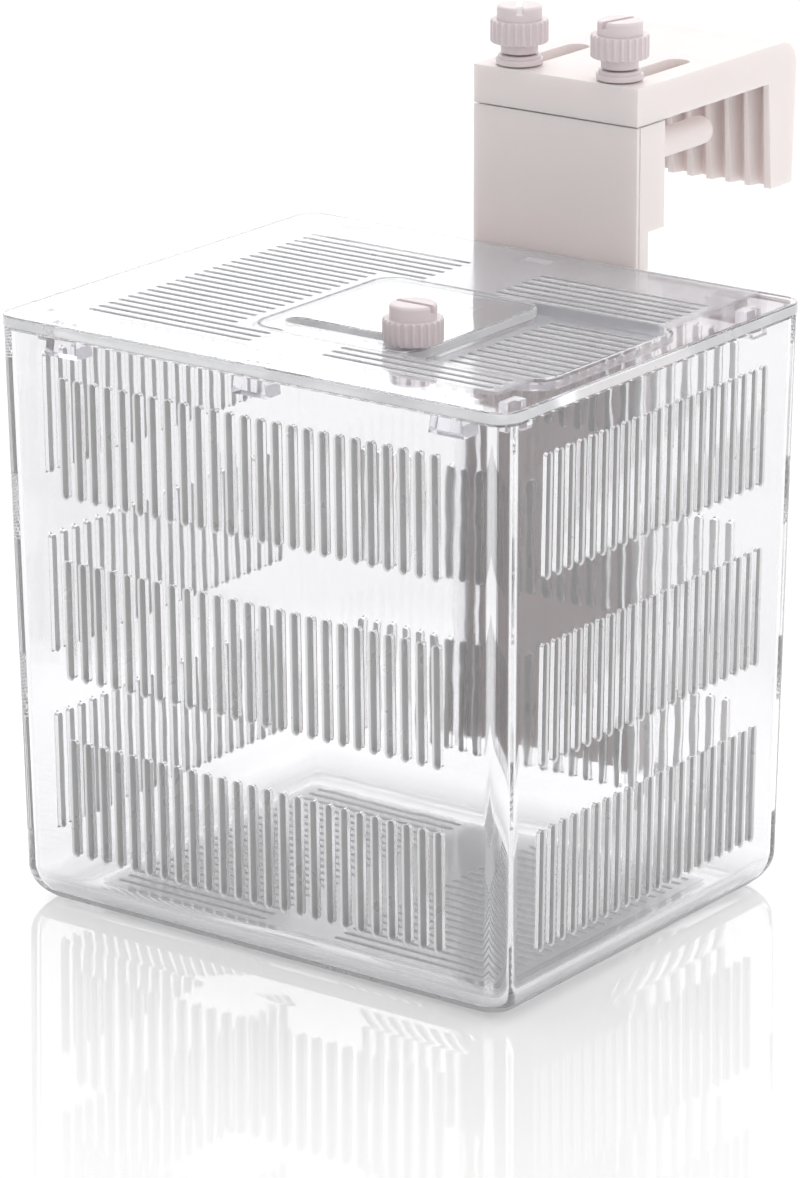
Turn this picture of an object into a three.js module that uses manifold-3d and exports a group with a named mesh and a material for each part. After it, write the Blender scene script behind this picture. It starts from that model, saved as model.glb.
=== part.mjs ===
// A fish breeding box: a clear slotted tank with a slotted lid and a sliding feeding door, carried by a
// hook that clamps on the rim of an aquarium. Sizes are in millimetres. X runs along the wide front wall,
// Y from the front wall to the hook and Z up. The origin is the middle of the tank's underside.

import * as THREE from "three";
import { mergeGeometries, mergeVertices } from "three/addons/utils/BufferGeometryUtils.js";
import Module from "manifold-3d";

const wasm = await Module();
wasm.setup();

// General fits
const partGap = 0.3; // between two pieces that rest on each other or run beside each other
const cutOverrun = 2; // how far a cutting body reaches past the surface that it cuts
const weldDistance = 0.0001; // points closer than this are one point

// Tank
const tankWidth = 119.6;
const tankDepth = 99.2;
const tankHeight = 116.6;
const tankDraft = 1.7; // each wall leans in by this much from the rim to the underside
const tankWall = 2.4;
const tankFloor = 2.6;
const tankCornerRadius = 4.5;
const tankFootRadius = 7; // outer round between a wall and the underside

// Rows of upright slots in the tank's four walls
const wallSlotWidth = 1.95;
const wallSlotLength = 24.4;
const frontSlotPitch = 3.63;
const frontSlotMargin = 16.1; // least plain width from a side of the tank to the middle of a front slot
const sideSlotPitch = 3.58;
const sideSlotMargin = 13.6;
const slotRowPitch = 36.5;
const lowestRowHeight = 24.1; // from the underside to the middle of the lowest row
const rimBand = 7; // least plain height between the highest row and the rim

// Slots in the floor and in the lid, which run along X on both sides of a plain middle bar
const plateSlotWidth = 1.3;
const plateSlotPitch = 2.93;
const middleBarWidth = 16.6;
const floorSlotMargin = 14.8; // from a side of the tank to the ends of the floor's slots
const floorRowMargin = 17.2; // least plain width in front of and behind the floor's rows
const lidSlotMargin = 12.5;
const lidRowsFromFront = 13.7; // from the lid's front edge to the middle of its first row
const lidRowsFromBack = 15.4;

// Lid
const lidOverhang = 0.2; // how far the lid reaches past the tank's rim
const lidThickness = 2.4;
const lidEdgeRound = 0.4;

// Tabs under the lid, which locate it inside the rim
const tabTopWidth = 6.2;
const tabFootWidth = 8;
const tabHeight = 4.4;
const tabThickness = 4.6;
const tabFromSide = 15; // from the lid's left or right edge to the middle of the outer tabs
const tabWallGap = 0.6;
const sideTabThickness = 2.6;
const sideTabLength = 5;
const sideTabHeight = 3.4;
const sideTabFromEnd = 10.8; // from the lid's front or back edge to the middle of a side tab
const sideTabWallGap = 2.5;

// Pocket in the lid where the feeding door slides, with a tray floor under it
const pocketFromRight = 8.4;
const pocketFromFront = 22.7;
const pocketLength = 67.8;
const pocketWidth = 44.7;
const pocketCornerRadius = 5;
const pocketDepth = 2.4;
const trayFloor = 1.8;
const trayWall = 1.2;
const besidePocket = 2.1; // plain strip between the pocket and the rows of slots on its left
const besideDoor = 2.8; // plain strip between the closed door and the slots in the tray floor

// Feeding opening in the tray floor
const feedLedge = 2.6; // width of the ledge that the door rests on
const feedFromKnob = 6.55; // from the opening's right edge to the middle of the knob
const feedCornerRadius = 3;

// Feeding door, with a slot that runs along the knob's shank
const doorLength = 37.6;
const doorThickness = 2.1;
const doorCornerRadius = 4.6;
const doorSlotWidth = 4.7;
const doorSlotFromFront = 7.2; // from the door's front edge to the slot's middle line
const doorSlotFromLeft = 5.75; // from the door's left edge to the middle of the slot's round end
const doorSlotFromRight = 4.55;

// Fluted screws, used on the lid and on the hook
const capDiameter = 9.2;
const capHeight = 2.8;
const capTaper = 0.25; // how far the cap's wall leans in
const capRound = 0.5;
const capSlotWidth = 1.3;
const capSlotDepth = 1.4;
const knurlDiameter = 11.6;
const knurlHeight = 4.6;
const fluteDepth = 0.6;
const fluteCount = 24;
const fluteLandShare = 0.5; // width of the land between two flutes as a share of the flute pitch
const neckDiameter = 7.4;
const clampNeckHeight = 2.1;
const shankDiameter = 4;
const shankTip = 0.5; // chamfer at a shank's end
const boreClearance = 0.3; // around a shank in its hole, on each side
const clampBoreDepth = 12; // how deep the clamp screws' holes go into the post
const boreEndGap = 0.6; // between a shank's end and the end of its hole

// Nut under the lid's knob, and collars under the clamp screws
const nutDiameter = 9.2;
const nutHeight = 3.4;
const nutChamfer = 0.6;
const collarDiameter = 9.4;
const collarHeight = 1.9;
const collarTierHeight = 0.7; // height of the collar's narrower upper tier
const collarTierInset = 0.5;

// Post behind the tank
const hangerWidth = 39.2;
const postLidGap = 1.2; // between the lid's back edge and the post's front face
const postPlateThickness = 4.2;
const postBlockDepth = 9.7;
const postBlockHeight = 21.4;
const postFootHeight = 14.8; // from the tank's underside to the post's foot
const postRise = 27.5; // from the lid's top to the post's top
const postFaceThickness = 0.7; // front face before the fine groove in each side of the post
const postGrooveWidth = 0.5;
const postGrooveDepth = 0.4;

// Hook on top of the post
const hookReach = 57.5;
const hookPlate = 7.7;
const hookLegThickness = 10.35; // under the plate, where it is widest
const hookHeight = 29.6; // from the leg's foot to the hook's top
const hookCornerRadius = 5.5;
const hookBackDraft = 1.1; // how far the leg's back leans in at its foot
const hookFrontDraft = 1.35; // how far the leg's ribbed face leans in at its foot
const ribPitch = 4.65;
const ribCount = 9;
const ribGrooveMouth = 3.2;
const ribGrooveRoot = 1.8;
const ribGrooveDepth = 2.5; // at the leg's foot

// Clamp screws and their slots in the hook
const clampSpacing = 24;
const clampSlotWidth = 5.2;
const clampSlotLength = 20; // between the middles of a slot's round ends
const leftScrewTurn = THREE.MathUtils.degToRad(-54); // turn of each screw's slot from the X direction
const rightScrewTurn = THREE.MathUtils.degToRad(77);

// Pegs that hold the aquarium's wall against the ribs
const pegDiameter = 5.8;
const pegBelowTop = 7.5; // from the post's top to the middle of a peg
const pegSeatDepth = 1.8;
const pegTipLength = 2; // rounded stretch at the tip
const glassGap = 12.1; // between the pegs' tips and the ribs

// Rails on the tank's back wall, in which the post slides
const railLip = 3.2; // how far a rail reaches over the post's edge
const railWall = 1.6;
const railFoot = 1.8;
const railDrop = 6.6; // from the tank's rim to the rails' tops

// Fineness of round stretches
const cornerSteps = 4;
const footSteps = 3;
const slotEndSteps = 2;
const wideSlotEndSteps = 8;
const roundSteps = 16;
const pegTipSteps = 3;

// Places that follow from the sizes above. The lid's are measured from its underside, and the hanger's
// from the post's front face and the tank's underside.
const lidWidth = tankWidth + 2 * lidOverhang;
const lidDepth = tankDepth + 2 * lidOverhang;
const lidCornerRadius = tankCornerRadius + lidOverhang;
const lidHeight = tankHeight + partGap;
const lidSlotEnd = lidWidth / 2 - lidSlotMargin;
const pocketRight = lidWidth / 2 - pocketFromRight;
const pocketLeft = pocketRight - pocketLength;
const pocketFront = pocketFromFront - lidDepth / 2;
const pocketBack = pocketFront + pocketWidth;
const pocketFloor = lidThickness - pocketDepth;
const trayBottom = pocketFloor - trayFloor;
const doorLeft = pocketLeft + partGap;
const doorFront = pocketFront + partGap;
const doorWidth = pocketWidth - 2 * partGap;
const doorHeight = pocketFloor + partGap;
const knobX = doorLeft + doorLength - doorSlotFromRight;
const knobY = doorFront + doorSlotFromFront;
const knobSeat = doorHeight + doorThickness + partGap;
const nutTop = trayBottom - partGap;
const hangerY = lidDepth / 2 + postLidGap;
const postTop = lidHeight + lidThickness + postRise;
const hookSeat = postTop + partGap;
const collarSeat = hookSeat + hookPlate + partGap;
const clampSeat = collarSeat + collarHeight + partGap;
const clampY = postBlockDepth / 2;
const pegZ = postTop - pegBelowTop;
const legTop = hookReach - hookLegThickness;
const legFoot = legTop + hookFrontDraft;
const legAtPegs = legTop + (hookFrontDraft * (hookSeat - pegZ)) / (hookHeight - hookPlate);
const pegStart = postBlockDepth - pegSeatDepth + partGap;
const pegLength = legAtPegs - glassGap - pegStart;

const looks = {
  clear: { color: 0xf3f5f6, roughness: 0.05, metalness: 0, transparent: true, opacity: 0.35 },
  clearDoor: { color: 0xeef1f3, roughness: 0.05, metalness: 0, transparent: true, opacity: 0.4 },
  cream: { color: 0xe6dfdc, roughness: 0.45, metalness: 0 },
  rose: { color: 0xdccfd0, roughness: 0.4, metalness: 0 },
};

// Turns a closed geometry into a solid that can be joined and cut.
function solidFrom(geometry) {
  const bare = geometry.clone();
  bare.deleteAttribute("normal");
  bare.deleteAttribute("uv");
  const merged = mergeVertices(bare, weldDistance);
  return new wasm.Manifold(
    new wasm.Mesh({
      numProp: 3,
      vertProperties: new Float32Array(merged.attributes.position.array),
      triVerts: new Uint32Array(merged.index.array),
    }),
  );
}

// Turns a solid back into a flat-shaded geometry.
function geometryFrom(solid) {
  const mesh = solid.getMesh();
  const points = new Float32Array(mesh.numVert * 3);
  for (let i = 0; i < mesh.numVert; i += 1) {
    points.set(mesh.vertProperties.subarray(i * mesh.numProp, i * mesh.numProp + 3), i * 3);
  }
  const indexed = new THREE.BufferGeometry();
  indexed.setAttribute("position", new THREE.BufferAttribute(points, 3));
  indexed.setIndex(new THREE.BufferAttribute(new Uint32Array(mesh.triVerts), 1));
  const flat = indexed.toNonIndexed();
  flat.computeVertexNormals();
  return flat;
}

// A named piece of the assembly, placed in its group.
function piece(name, solid, look, x = 0, y = 0, z = 0) {
  const mesh = new THREE.Mesh(geometryFrom(solid), new THREE.MeshStandardMaterial(looks[look]));
  mesh.name = name;
  mesh.position.set(x, y, z);
  return mesh;
}

function groupAt(x, y, z) {
  const group = new THREE.Group();
  group.position.set(x, y, z);
  return group;
}

// How many copies fit in a length when each is one pitch from the next.
function copiesIn(length, pitch) {
  return Math.floor(length / pitch) + 1;
}

// Corner points of a rectangle with rounded corners, anticlockwise.
function roundedOutline(left, right, low, high, radius) {
  const corners = [
    [right - radius, low + radius, -Math.PI / 2],
    [right - radius, high - radius, 0],
    [left + radius, high - radius, Math.PI / 2],
    [left + radius, low + radius, Math.PI],
  ];
  const points = [];
  for (const [x, y, start] of corners) {
    for (let step = 0; step <= cornerSteps; step += 1) {
      const angle = start + (step / cornerSteps) * (Math.PI / 2);
      points.push(new THREE.Vector2(x + radius * Math.cos(angle), y + radius * Math.sin(angle)));
    }
  }
  return points;
}

// Outline of one slot with round ends, centred on the origin and lying along X.
function slotOutline(length, width, endSteps) {
  const radius = width / 2;
  const points = [];
  for (const side of [1, -1]) {
    for (let step = 0; step <= endSteps; step += 1) {
      const angle = (step / endSteps - 1 / 2) * Math.PI;
      const along = length / 2 - radius + radius * Math.cos(angle);
      points.push(new THREE.Vector2(side * along, side * radius * Math.sin(angle)));
    }
  }
  return points;
}

function extruded(outline, depth) {
  return new THREE.ExtrudeGeometry(new THREE.Shape(outline), { depth, bevelEnabled: false });
}

// A straight prism of an outline drawn in X and Y, from one height to another.
function uprightPrism(outline, bottom, top) {
  return solidFrom(extruded(outline, top - bottom).translate(0, 0, bottom));
}

// A straight prism along X of an outline drawn in Y and Z, centred on the YZ plane.
function crossPrism(outline, width) {
  const geometry = extruded(outline, width).translate(0, 0, -width / 2);
  const alongX = new THREE.Matrix4().makeBasis(
    new THREE.Vector3(0, 1, 0),
    new THREE.Vector3(0, 0, 1),
    new THREE.Vector3(1, 0, 0),
  );
  return solidFrom(geometry.applyMatrix4(alongX));
}

// A box on the left (side -1) or the right (side 1), between two distances from the middle plane.
function sideBox(side, inner, outer, front, back, bottom, top) {
  const geometry = new THREE.BoxGeometry(outer - inner, back - front, top - bottom);
  geometry.translate((side * (inner + outer)) / 2, (front + back) / 2, (bottom + top) / 2);
  return solidFrom(geometry);
}

// A round body about the Z axis, from a profile of [radius, height] points that starts and ends on the
// axis, or closes on itself.
function turned(profile) {
  const points = profile.map(([radius, height]) => new THREE.Vector2(radius, height));
  const geometry = new THREE.LatheGeometry(points, roundSteps);
  return solidFrom(geometry.rotateX(Math.PI / 2));
}

// A round rod or hole from one height to another.
function rod(radius, bottom, top) {
  return turned([
    [0, bottom],
    [radius, bottom],
    [radius, top],
    [0, top],
  ]);
}

// A closed body through rings of points that follow each other upwards.
function loft(rings) {
  const count = rings[0].length;
  const faces = [];
  for (let level = 0; level + 1 < rings.length; level += 1) {
    for (let i = 0; i < count; i += 1) {
      const next = (i + 1) % count;
      const low = level * count;
      const high = low + count;
      faces.push(low + i, low + next, high + next);
      faces.push(low + i, high + next, high + i);
    }
  }
  const last = (rings.length - 1) * count;
  for (let i = 1; i + 1 < count; i += 1) {
    faces.push(0, i + 1, i);
    faces.push(last, last + i, last + i + 1);
  }
  const geometry = new THREE.BufferGeometry();
  geometry.setAttribute("position", new THREE.Float32BufferAttribute(rings.flat(2), 3));
  geometry.setIndex(faces);
  return solidFrom(geometry);
}

// The drafted, rounded body of the tank: its outer surface moved inwards by an inset, with its underside
// at a height and its upper end past the rim by an overrun.
function tankBody(inset, underside, overrun) {
  const ringAt = (height, drawnIn) => {
    const lean = tankDraft * (1 - height / tankHeight);
    const halfWidth = tankWidth / 2 - inset - lean - drawnIn;
    const halfDepth = tankDepth / 2 - inset - lean - drawnIn;
    const outline = roundedOutline(-halfWidth, halfWidth, -halfDepth, halfDepth, tankCornerRadius - inset);
    return outline.map((point) => [point.x, point.y, height]);
  };
  const footRadius = tankFootRadius - inset;
  const rings = [];
  for (let step = 0; step <= footSteps; step += 1) {
    const angle = (step / footSteps) * (Math.PI / 2);
    rings.push(ringAt(underside + footRadius * (1 - Math.cos(angle)), footRadius * (1 - Math.sin(angle))));
  }
  rings.push(ringAt(tankHeight + overrun, 0));
  return loft(rings);
}

// Prisms for all rows of upright slots in two facing walls. They run right through the tank along Y.
function wallSlots(wallWidth, margin, pitch, through) {
  const columns = copiesIn(wallWidth - 2 * margin, pitch);
  const rowSpan = tankHeight - rimBand - wallSlotLength / 2 - lowestRowHeight;
  const prisms = [];
  for (let row = 0; row < copiesIn(rowSpan, slotRowPitch); row += 1) {
    for (let column = 0; column < columns; column += 1) {
      const prism = extruded(slotOutline(wallSlotLength, wallSlotWidth, slotEndSteps), through);
      prism.translate(0, 0, -through / 2);
      prism.rotateZ(Math.PI / 2);
      prism.rotateX(Math.PI / 2);
      prism.translate((column - (columns - 1) / 2) * pitch, 0, lowestRowHeight + row * slotRowPitch);
      prisms.push(prism);
    }
  }
  return mergeGeometries(prisms);
}

// Prisms for slots along X. Each is given as [left end, right end, place in Y], and one that would be
// shorter than twice its width is left out.
function plateSlots(rows, bottom, top) {
  const long = rows.filter(([left, right]) => right - left > 2 * plateSlotWidth);
  const prisms = long.map(([left, right, y]) => {
    const prism = extruded(slotOutline(right - left, plateSlotWidth, slotEndSteps), top - bottom);
    return prism.translate((left + right) / 2, y, bottom);
  });
  return solidFrom(mergeGeometries(prisms));
}

function floorSlotRows() {
  const end = tankWidth / 2 - floorSlotMargin;
  const count = copiesIn(tankDepth - 2 * floorRowMargin, plateSlotPitch);
  const rows = [];
  for (let i = 0; i < count; i += 1) {
    const y = (i - (count - 1) / 2) * plateSlotPitch;
    rows.push([-end, -middleBarWidth / 2, y]);
    rows.push([middleBarWidth / 2, end, y]);
  }
  return rows;
}

// The tank: a drafted shell with slotted walls and a slotted floor.
function tank() {
  const frontSlots = wallSlots(tankWidth, frontSlotMargin, frontSlotPitch, tankDepth + 2 * cutOverrun);
  const sideSlots = wallSlots(tankDepth, sideSlotMargin, sideSlotPitch, tankWidth + 2 * cutOverrun);
  return tankBody(0, 0, 0)
    .subtract(tankBody(tankWall, tankFloor, cutOverrun))
    .subtract(solidFrom(frontSlots))
    .subtract(solidFrom(sideSlots.rotateZ(Math.PI / 2)))
    .subtract(plateSlots(floorSlotRows(), -cutOverrun, tankFloor + cutOverrun));
}

// A channel on the back wall that wraps one edge of the post's plate, with a foot under the post.
function rail(side) {
  const edge = hangerWidth / 2;
  const back = hangerY + postPlateThickness + partGap;
  const foot = postFootHeight - partGap;
  const top = tankHeight - railDrop;
  const wallInside = tankDepth / 2 - tankDraft - tankWall;
  const outer = edge + partGap + railWall;
  const block = sideBox(side, edge - railLip, outer, wallInside, back + railWall, foot - railFoot, top);
  const channel = sideBox(side, 0, edge + partGap, hangerY - partGap, back, foot, top + cutOverrun);
  return block.subtract(channel).subtract(tankBody(-partGap, -partGap, cutOverrun));
}

// Rows of slots in the lid. Rows beside the pocket stop short of it, and rows inside it lie to the right
// of the closed door.
function lidSlotRows() {
  const rows = [];
  const count = copiesIn(lidDepth - lidRowsFromFront - lidRowsFromBack, plateSlotPitch);
  const besideBar = middleBarWidth / 2;
  for (let i = 0; i < count; i += 1) {
    const y = lidRowsFromFront - lidDepth / 2 + i * plateSlotPitch;
    const passesPocket = y + plateSlotWidth < pocketFront || y - plateSlotWidth > pocketBack;
    const insidePocket = y - plateSlotWidth > pocketFront && y + plateSlotWidth < pocketBack;
    rows.push([-lidSlotEnd, passesPocket ? -besideBar : pocketLeft - besidePocket, y]);
    if (passesPocket) rows.push([besideBar, lidSlotEnd, y]);
    if (insidePocket) rows.push([doorLeft + doorLength + besideDoor, lidSlotEnd, y]);
  }
  return rows;
}

// The lid's plate with small chamfers along its upper and lower edges.
function lidPlate() {
  const inner = lidEdgeRound;
  const outline = roundedOutline(
    inner - lidWidth / 2,
    lidWidth / 2 - inner,
    inner - lidDepth / 2,
    lidDepth / 2 - inner,
    lidCornerRadius - inner,
  );
  const geometry = new THREE.ExtrudeGeometry(new THREE.Shape(outline), {
    depth: lidThickness - 2 * lidEdgeRound,
    bevelThickness: lidEdgeRound,
    bevelSize: lidEdgeRound,
    bevelSegments: 1,
  });
  return solidFrom(geometry.translate(0, 0, lidEdgeRound));
}

// A tab that widens downwards, inside the front (side -1) or the back (side 1) wall.
function wallTab(x, side) {
  const outline = [
    new THREE.Vector2(-tabTopWidth / 2, 0),
    new THREE.Vector2(-tabFootWidth / 2, -tabHeight),
    new THREE.Vector2(tabFootWidth / 2, -tabHeight),
    new THREE.Vector2(tabTopWidth / 2, 0),
  ];
  const y = side * (tankDepth / 2 - tankWall - tabWallGap - tabThickness / 2);
  const geometry = extruded(outline, tabThickness).translate(0, 0, -tabThickness / 2);
  return solidFrom(geometry.rotateX(Math.PI / 2).translate(x, y, 0));
}

// A small tab inside the left or the right wall, near the front (end -1) or the back (end 1).
function sideTab(side, end) {
  const outer = tankWidth / 2 - tankWall - sideTabWallGap;
  const y = end * (lidDepth / 2 - sideTabFromEnd);
  const half = sideTabLength / 2;
  return sideBox(side, outer - sideTabThickness, outer, y - half, y + half, -sideTabHeight, 0);
}

// The lid, with its underside at height zero.
function lid() {
  const grown = trayWall;
  const tray = roundedOutline(
    pocketLeft - grown,
    pocketRight + grown,
    pocketFront - grown,
    pocketBack + grown,
    pocketCornerRadius + grown,
  );
  const pocket = roundedOutline(pocketLeft, pocketRight, pocketFront, pocketBack, pocketCornerRadius);
  const opening = roundedOutline(
    pocketLeft + feedLedge,
    knobX - feedFromKnob,
    pocketFront + feedLedge,
    pocketBack - feedLedge,
    feedCornerRadius,
  );
  const below = trayBottom - cutOverrun;
  const above = lidThickness + cutOverrun;
  let solid = lidPlate().add(uprightPrism(tray, trayBottom, lidThickness / 2));
  for (const side of [-1, 1]) {
    for (const place of [-1, 0, 1]) solid = solid.add(wallTab(place * (lidWidth / 2 - tabFromSide), side));
    for (const end of [-1, 1]) solid = solid.add(sideTab(side, end));
  }
  const shankHole = rod(shankDiameter / 2 + boreClearance, below, above).translate([knobX, knobY, 0]);
  return solid
    .subtract(uprightPrism(pocket, pocketFloor, above))
    .subtract(uprightPrism(opening, below, above))
    .subtract(plateSlots(lidSlotRows(), below, above))
    .subtract(shankHole);
}

// The feeding door, from its front left corner and its underside.
function feedingDoor() {
  const outline = roundedOutline(0, doorLength, 0, doorWidth, doorCornerRadius);
  const slotLength = doorLength - doorSlotFromLeft - doorSlotFromRight + doorSlotWidth;
  const slotMiddle = (doorSlotFromLeft + doorLength - doorSlotFromRight) / 2;
  const slot = slotOutline(slotLength, doorSlotWidth, wideSlotEndSteps);
  const cutter = uprightPrism(slot, -cutOverrun, doorThickness + cutOverrun);
  const placed = cutter.translate([slotMiddle, doorSlotFromFront, 0]);
  return uprightPrism(outline, 0, doorThickness).subtract(placed);
}

// The fluted grip of a screw: lands on the full diameter with a groove between each two.
function knurl(bottom, top) {
  const step = (Math.PI * 2) / fluteCount;
  const land = (step * fluteLandShare) / 2;
  const outer = knurlDiameter / 2;
  const points = [];
  for (let i = 0; i < fluteCount; i += 1) {
    const middle = i * step;
    points.push(new THREE.Vector2(outer * Math.cos(middle - land), outer * Math.sin(middle - land)));
    points.push(new THREE.Vector2(outer * Math.cos(middle + land), outer * Math.sin(middle + land)));
    const groove = middle + step / 2;
    const inner = outer - fluteDepth;
    points.push(new THREE.Vector2(inner * Math.cos(groove), inner * Math.sin(groove)));
  }
  return uprightPrism(points, bottom, top);
}

// A plastic screw with a fluted grip and a slotted cap. The underside of its head is at height zero, and
// its slot runs along X.
function flutedScrew(neckHeight, shankLength) {
  const shank = shankDiameter / 2;
  const cap = capDiameter / 2;
  const neck = neckDiameter / 2;
  const knurlTop = neckHeight + knurlHeight;
  const top = knurlTop + capHeight;
  const body = turned([
    [0, -shankLength],
    [shank - shankTip, -shankLength],
    [shank, shankTip - shankLength],
    [shank, 0],
    [neck, 0],
    [neck, neckHeight + knurlHeight / 2],
    [cap, knurlTop - knurlHeight / 2],
    [cap, knurlTop],
    [cap - capTaper, top - capRound],
    [cap - capTaper - capRound, top],
    [0, top],
  ]);
  const slotTop = top + cutOverrun;
  const slotFloor = top - capSlotDepth;
  const slot = new THREE.BoxGeometry(capDiameter + 2 * cutOverrun, capSlotWidth, slotTop - slotFloor);
  slot.translate(0, 0, (slotTop + slotFloor) / 2);
  return body.add(knurl(neckHeight, knurlTop)).subtract(solidFrom(slot));
}

// A ring around a shank, from a profile of [outer radius, height] points that follow each other upwards.
function ringAroundShank(profile) {
  const inner = shankDiameter / 2 + boreClearance;
  const start = [inner, profile[0][1]];
  const end = [inner, profile[profile.length - 1][1]];
  return turned([start, ...profile, end, start]);
}

// The nut under the lid, with its top at height zero.
function lidNut() {
  const radius = nutDiameter / 2;
  return ringAroundShank([
    [radius - nutChamfer, -nutHeight],
    [radius, nutChamfer - nutHeight],
    [radius, 0],
  ]);
}

// The two-tiered collar under a clamp screw, with its underside at height zero.
function clampCollar() {
  const radius = collarDiameter / 2;
  const tier = collarHeight - collarTierHeight;
  return ringAroundShank([
    [radius, 0],
    [radius, tier],
    [radius - collarTierInset, tier],
    [radius - collarTierInset, collarHeight],
  ]);
}

// The post, from its front face: a plate that runs down behind the tank, with a block at its top that
// takes the clamp screws and the pegs.
function hangerPost() {
  const outline = [
    new THREE.Vector2(0, postFootHeight),
    new THREE.Vector2(postPlateThickness, postFootHeight),
    new THREE.Vector2(postPlateThickness, postTop - postBlockHeight),
    new THREE.Vector2(postBlockDepth, postTop - postBlockHeight),
    new THREE.Vector2(postBlockDepth, postTop),
    new THREE.Vector2(0, postTop),
  ];
  const edge = hangerWidth / 2;
  const grooveBack = postFaceThickness + postGrooveWidth;
  const below = postFootHeight - cutOverrun;
  const above = postTop + cutOverrun;
  const bore = rod(shankDiameter / 2 + boreClearance, postTop - clampBoreDepth, above);
  const seat = rod(pegDiameter / 2 + partGap, 0, pegSeatDepth + cutOverrun).rotate([-90, 0, 0]);
  let solid = crossPrism(outline, hangerWidth);
  for (const side of [-1, 1]) {
    const x = (side * clampSpacing) / 2;
    const inner = edge - postGrooveDepth;
    solid = solid
      .subtract(bore.translate([x, clampY, 0]))
      .subtract(seat.translate([x, postBlockDepth - pegSeatDepth, pegZ]))
      .subtract(sideBox(side, inner, edge + cutOverrun, postFaceThickness, grooveBack, below, above));
  }
  return solid;
}

// The hook, from its front face and its plate's underside: a plate with a leg at its back.
function hangerHook() {
  const foot = hookPlate - hookHeight;
  const roundY = hookReach - hookCornerRadius;
  const roundZ = hookPlate - hookCornerRadius;
  const outline = [
    new THREE.Vector2(0, 0),
    new THREE.Vector2(legTop, 0),
    new THREE.Vector2(legFoot, foot),
    new THREE.Vector2(hookReach - hookBackDraft, foot),
  ];
  for (let step = 0; step <= cornerSteps; step += 1) {
    const angle = (step / cornerSteps) * (Math.PI / 2);
    const y = roundY + hookCornerRadius * Math.cos(angle);
    outline.push(new THREE.Vector2(y, roundZ + hookCornerRadius * Math.sin(angle)));
  }
  outline.push(new THREE.Vector2(0, hookPlate));
  let solid = crossPrism(outline, hangerWidth);
  const grooves = ribCount - 1;
  for (let i = 0; i < grooves; i += 1) {
    const x = (i - (grooves - 1) / 2) * ribPitch;
    solid = solid.subtract(ribGroove(foot - cutOverrun).translate([x, legFoot, 0]));
  }
  const slot = slotOutline(clampSlotLength + clampSlotWidth, clampSlotWidth, wideSlotEndSteps);
  const cutter = uprightPrism(slot, -cutOverrun, hookPlate + cutOverrun).rotate([0, 0, 90]);
  for (const side of [-1, 1]) {
    solid = solid.subtract(cutter.translate([(side * clampSpacing) / 2, clampY + clampSlotLength / 2, 0]));
  }
  return solid;
}

// One upright groove in the leg's inner face, from below the foot up to the plate. It widens towards its
// mouth and goes on widening past it.
function ribGroove(bottom) {
  const flare = (ribGrooveMouth - ribGrooveRoot) / 2;
  const outer = ribGrooveMouth / 2 + flare;
  const outline = [
    new THREE.Vector2(-outer, -ribGrooveDepth),
    new THREE.Vector2(outer, -ribGrooveDepth),
    new THREE.Vector2(ribGrooveRoot / 2, ribGrooveDepth),
    new THREE.Vector2(-ribGrooveRoot / 2, ribGrooveDepth),
  ];
  return uprightPrism(outline, bottom, 0);
}

// A peg with a rounded tip, from its seat at height zero upwards.
function peg() {
  const radius = pegDiameter / 2;
  const profile = [
    [0, 0],
    [radius, 0],
  ];
  for (let step = 0; step < pegTipSteps; step += 1) {
    const angle = (step / pegTipSteps) * (Math.PI / 2);
    profile.push([radius * Math.cos(angle), pegLength - pegTipLength * (1 - Math.sin(angle))]);
  }
  profile.push([0, pegLength]);
  return turned(profile);
}

// The tank with its rails, and the lid with its door, knob and nut on the rim.
const assembly = new THREE.Group();
assembly.add(piece("tank", tank(), "clear"));
assembly.add(piece("rail_left", rail(-1), "clear"));
assembly.add(piece("rail_right", rail(1), "clear"));

const lidGroup = groupAt(0, 0, lidHeight);
const knobShank = knobSeat - nutTop + nutHeight + partGap;
lidGroup.add(piece("lid", lid(), "clear"));
lidGroup.add(piece("feeding_door", feedingDoor(), "clearDoor", doorLeft, doorFront, doorHeight));
lidGroup.add(piece("lid_knob", flutedScrew(0, knobShank), "rose", knobX, knobY, knobSeat));
lidGroup.add(piece("lid_nut", lidNut(), "clearDoor", knobX, knobY, nutTop));
assembly.add(lidGroup);

// The hanger: the post in the rails, the hook on top, and the screws that clamp the hook to the post.
const hangerGroup = groupAt(0, hangerY, 0);
hangerGroup.add(piece("hanger_post", hangerPost(), "cream"));
hangerGroup.add(piece("hanger_hook", hangerHook(), "cream", 0, 0, hookSeat));
for (const [name, side, turn] of [
  ["left", -1, leftScrewTurn],
  ["right", 1, rightScrewTurn],
]) {
  const x = (side * clampSpacing) / 2;
  const clampShank = clampSeat - postTop + clampBoreDepth - boreEndGap;
  const screwSolid = flutedScrew(clampNeckHeight, clampShank);
  const screw = piece(`clamp_screw_${name}`, screwSolid, "rose", x, clampY, clampSeat);
  screw.rotation.z = turn;
  const pin = piece(`peg_${name}`, peg(), "cream", x, pegStart, pegZ);
  pin.rotation.x = -Math.PI / 2;
  hangerGroup.add(screw, pin, piece(`clamp_collar_${name}`, clampCollar(), "rose", x, clampY, collarSeat));
}
assembly.add(hangerGroup);

export default assembly;
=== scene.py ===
"""Dresses the fish breeding box: clear slotted tank and lid, pale hook, and the studio it stands in."""

import math

import bmesh
import bpy
from bpy.props import FloatProperty, FloatVectorProperty, IntProperty, PointerProperty
from mathutils import Euler, Matrix, Vector


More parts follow.
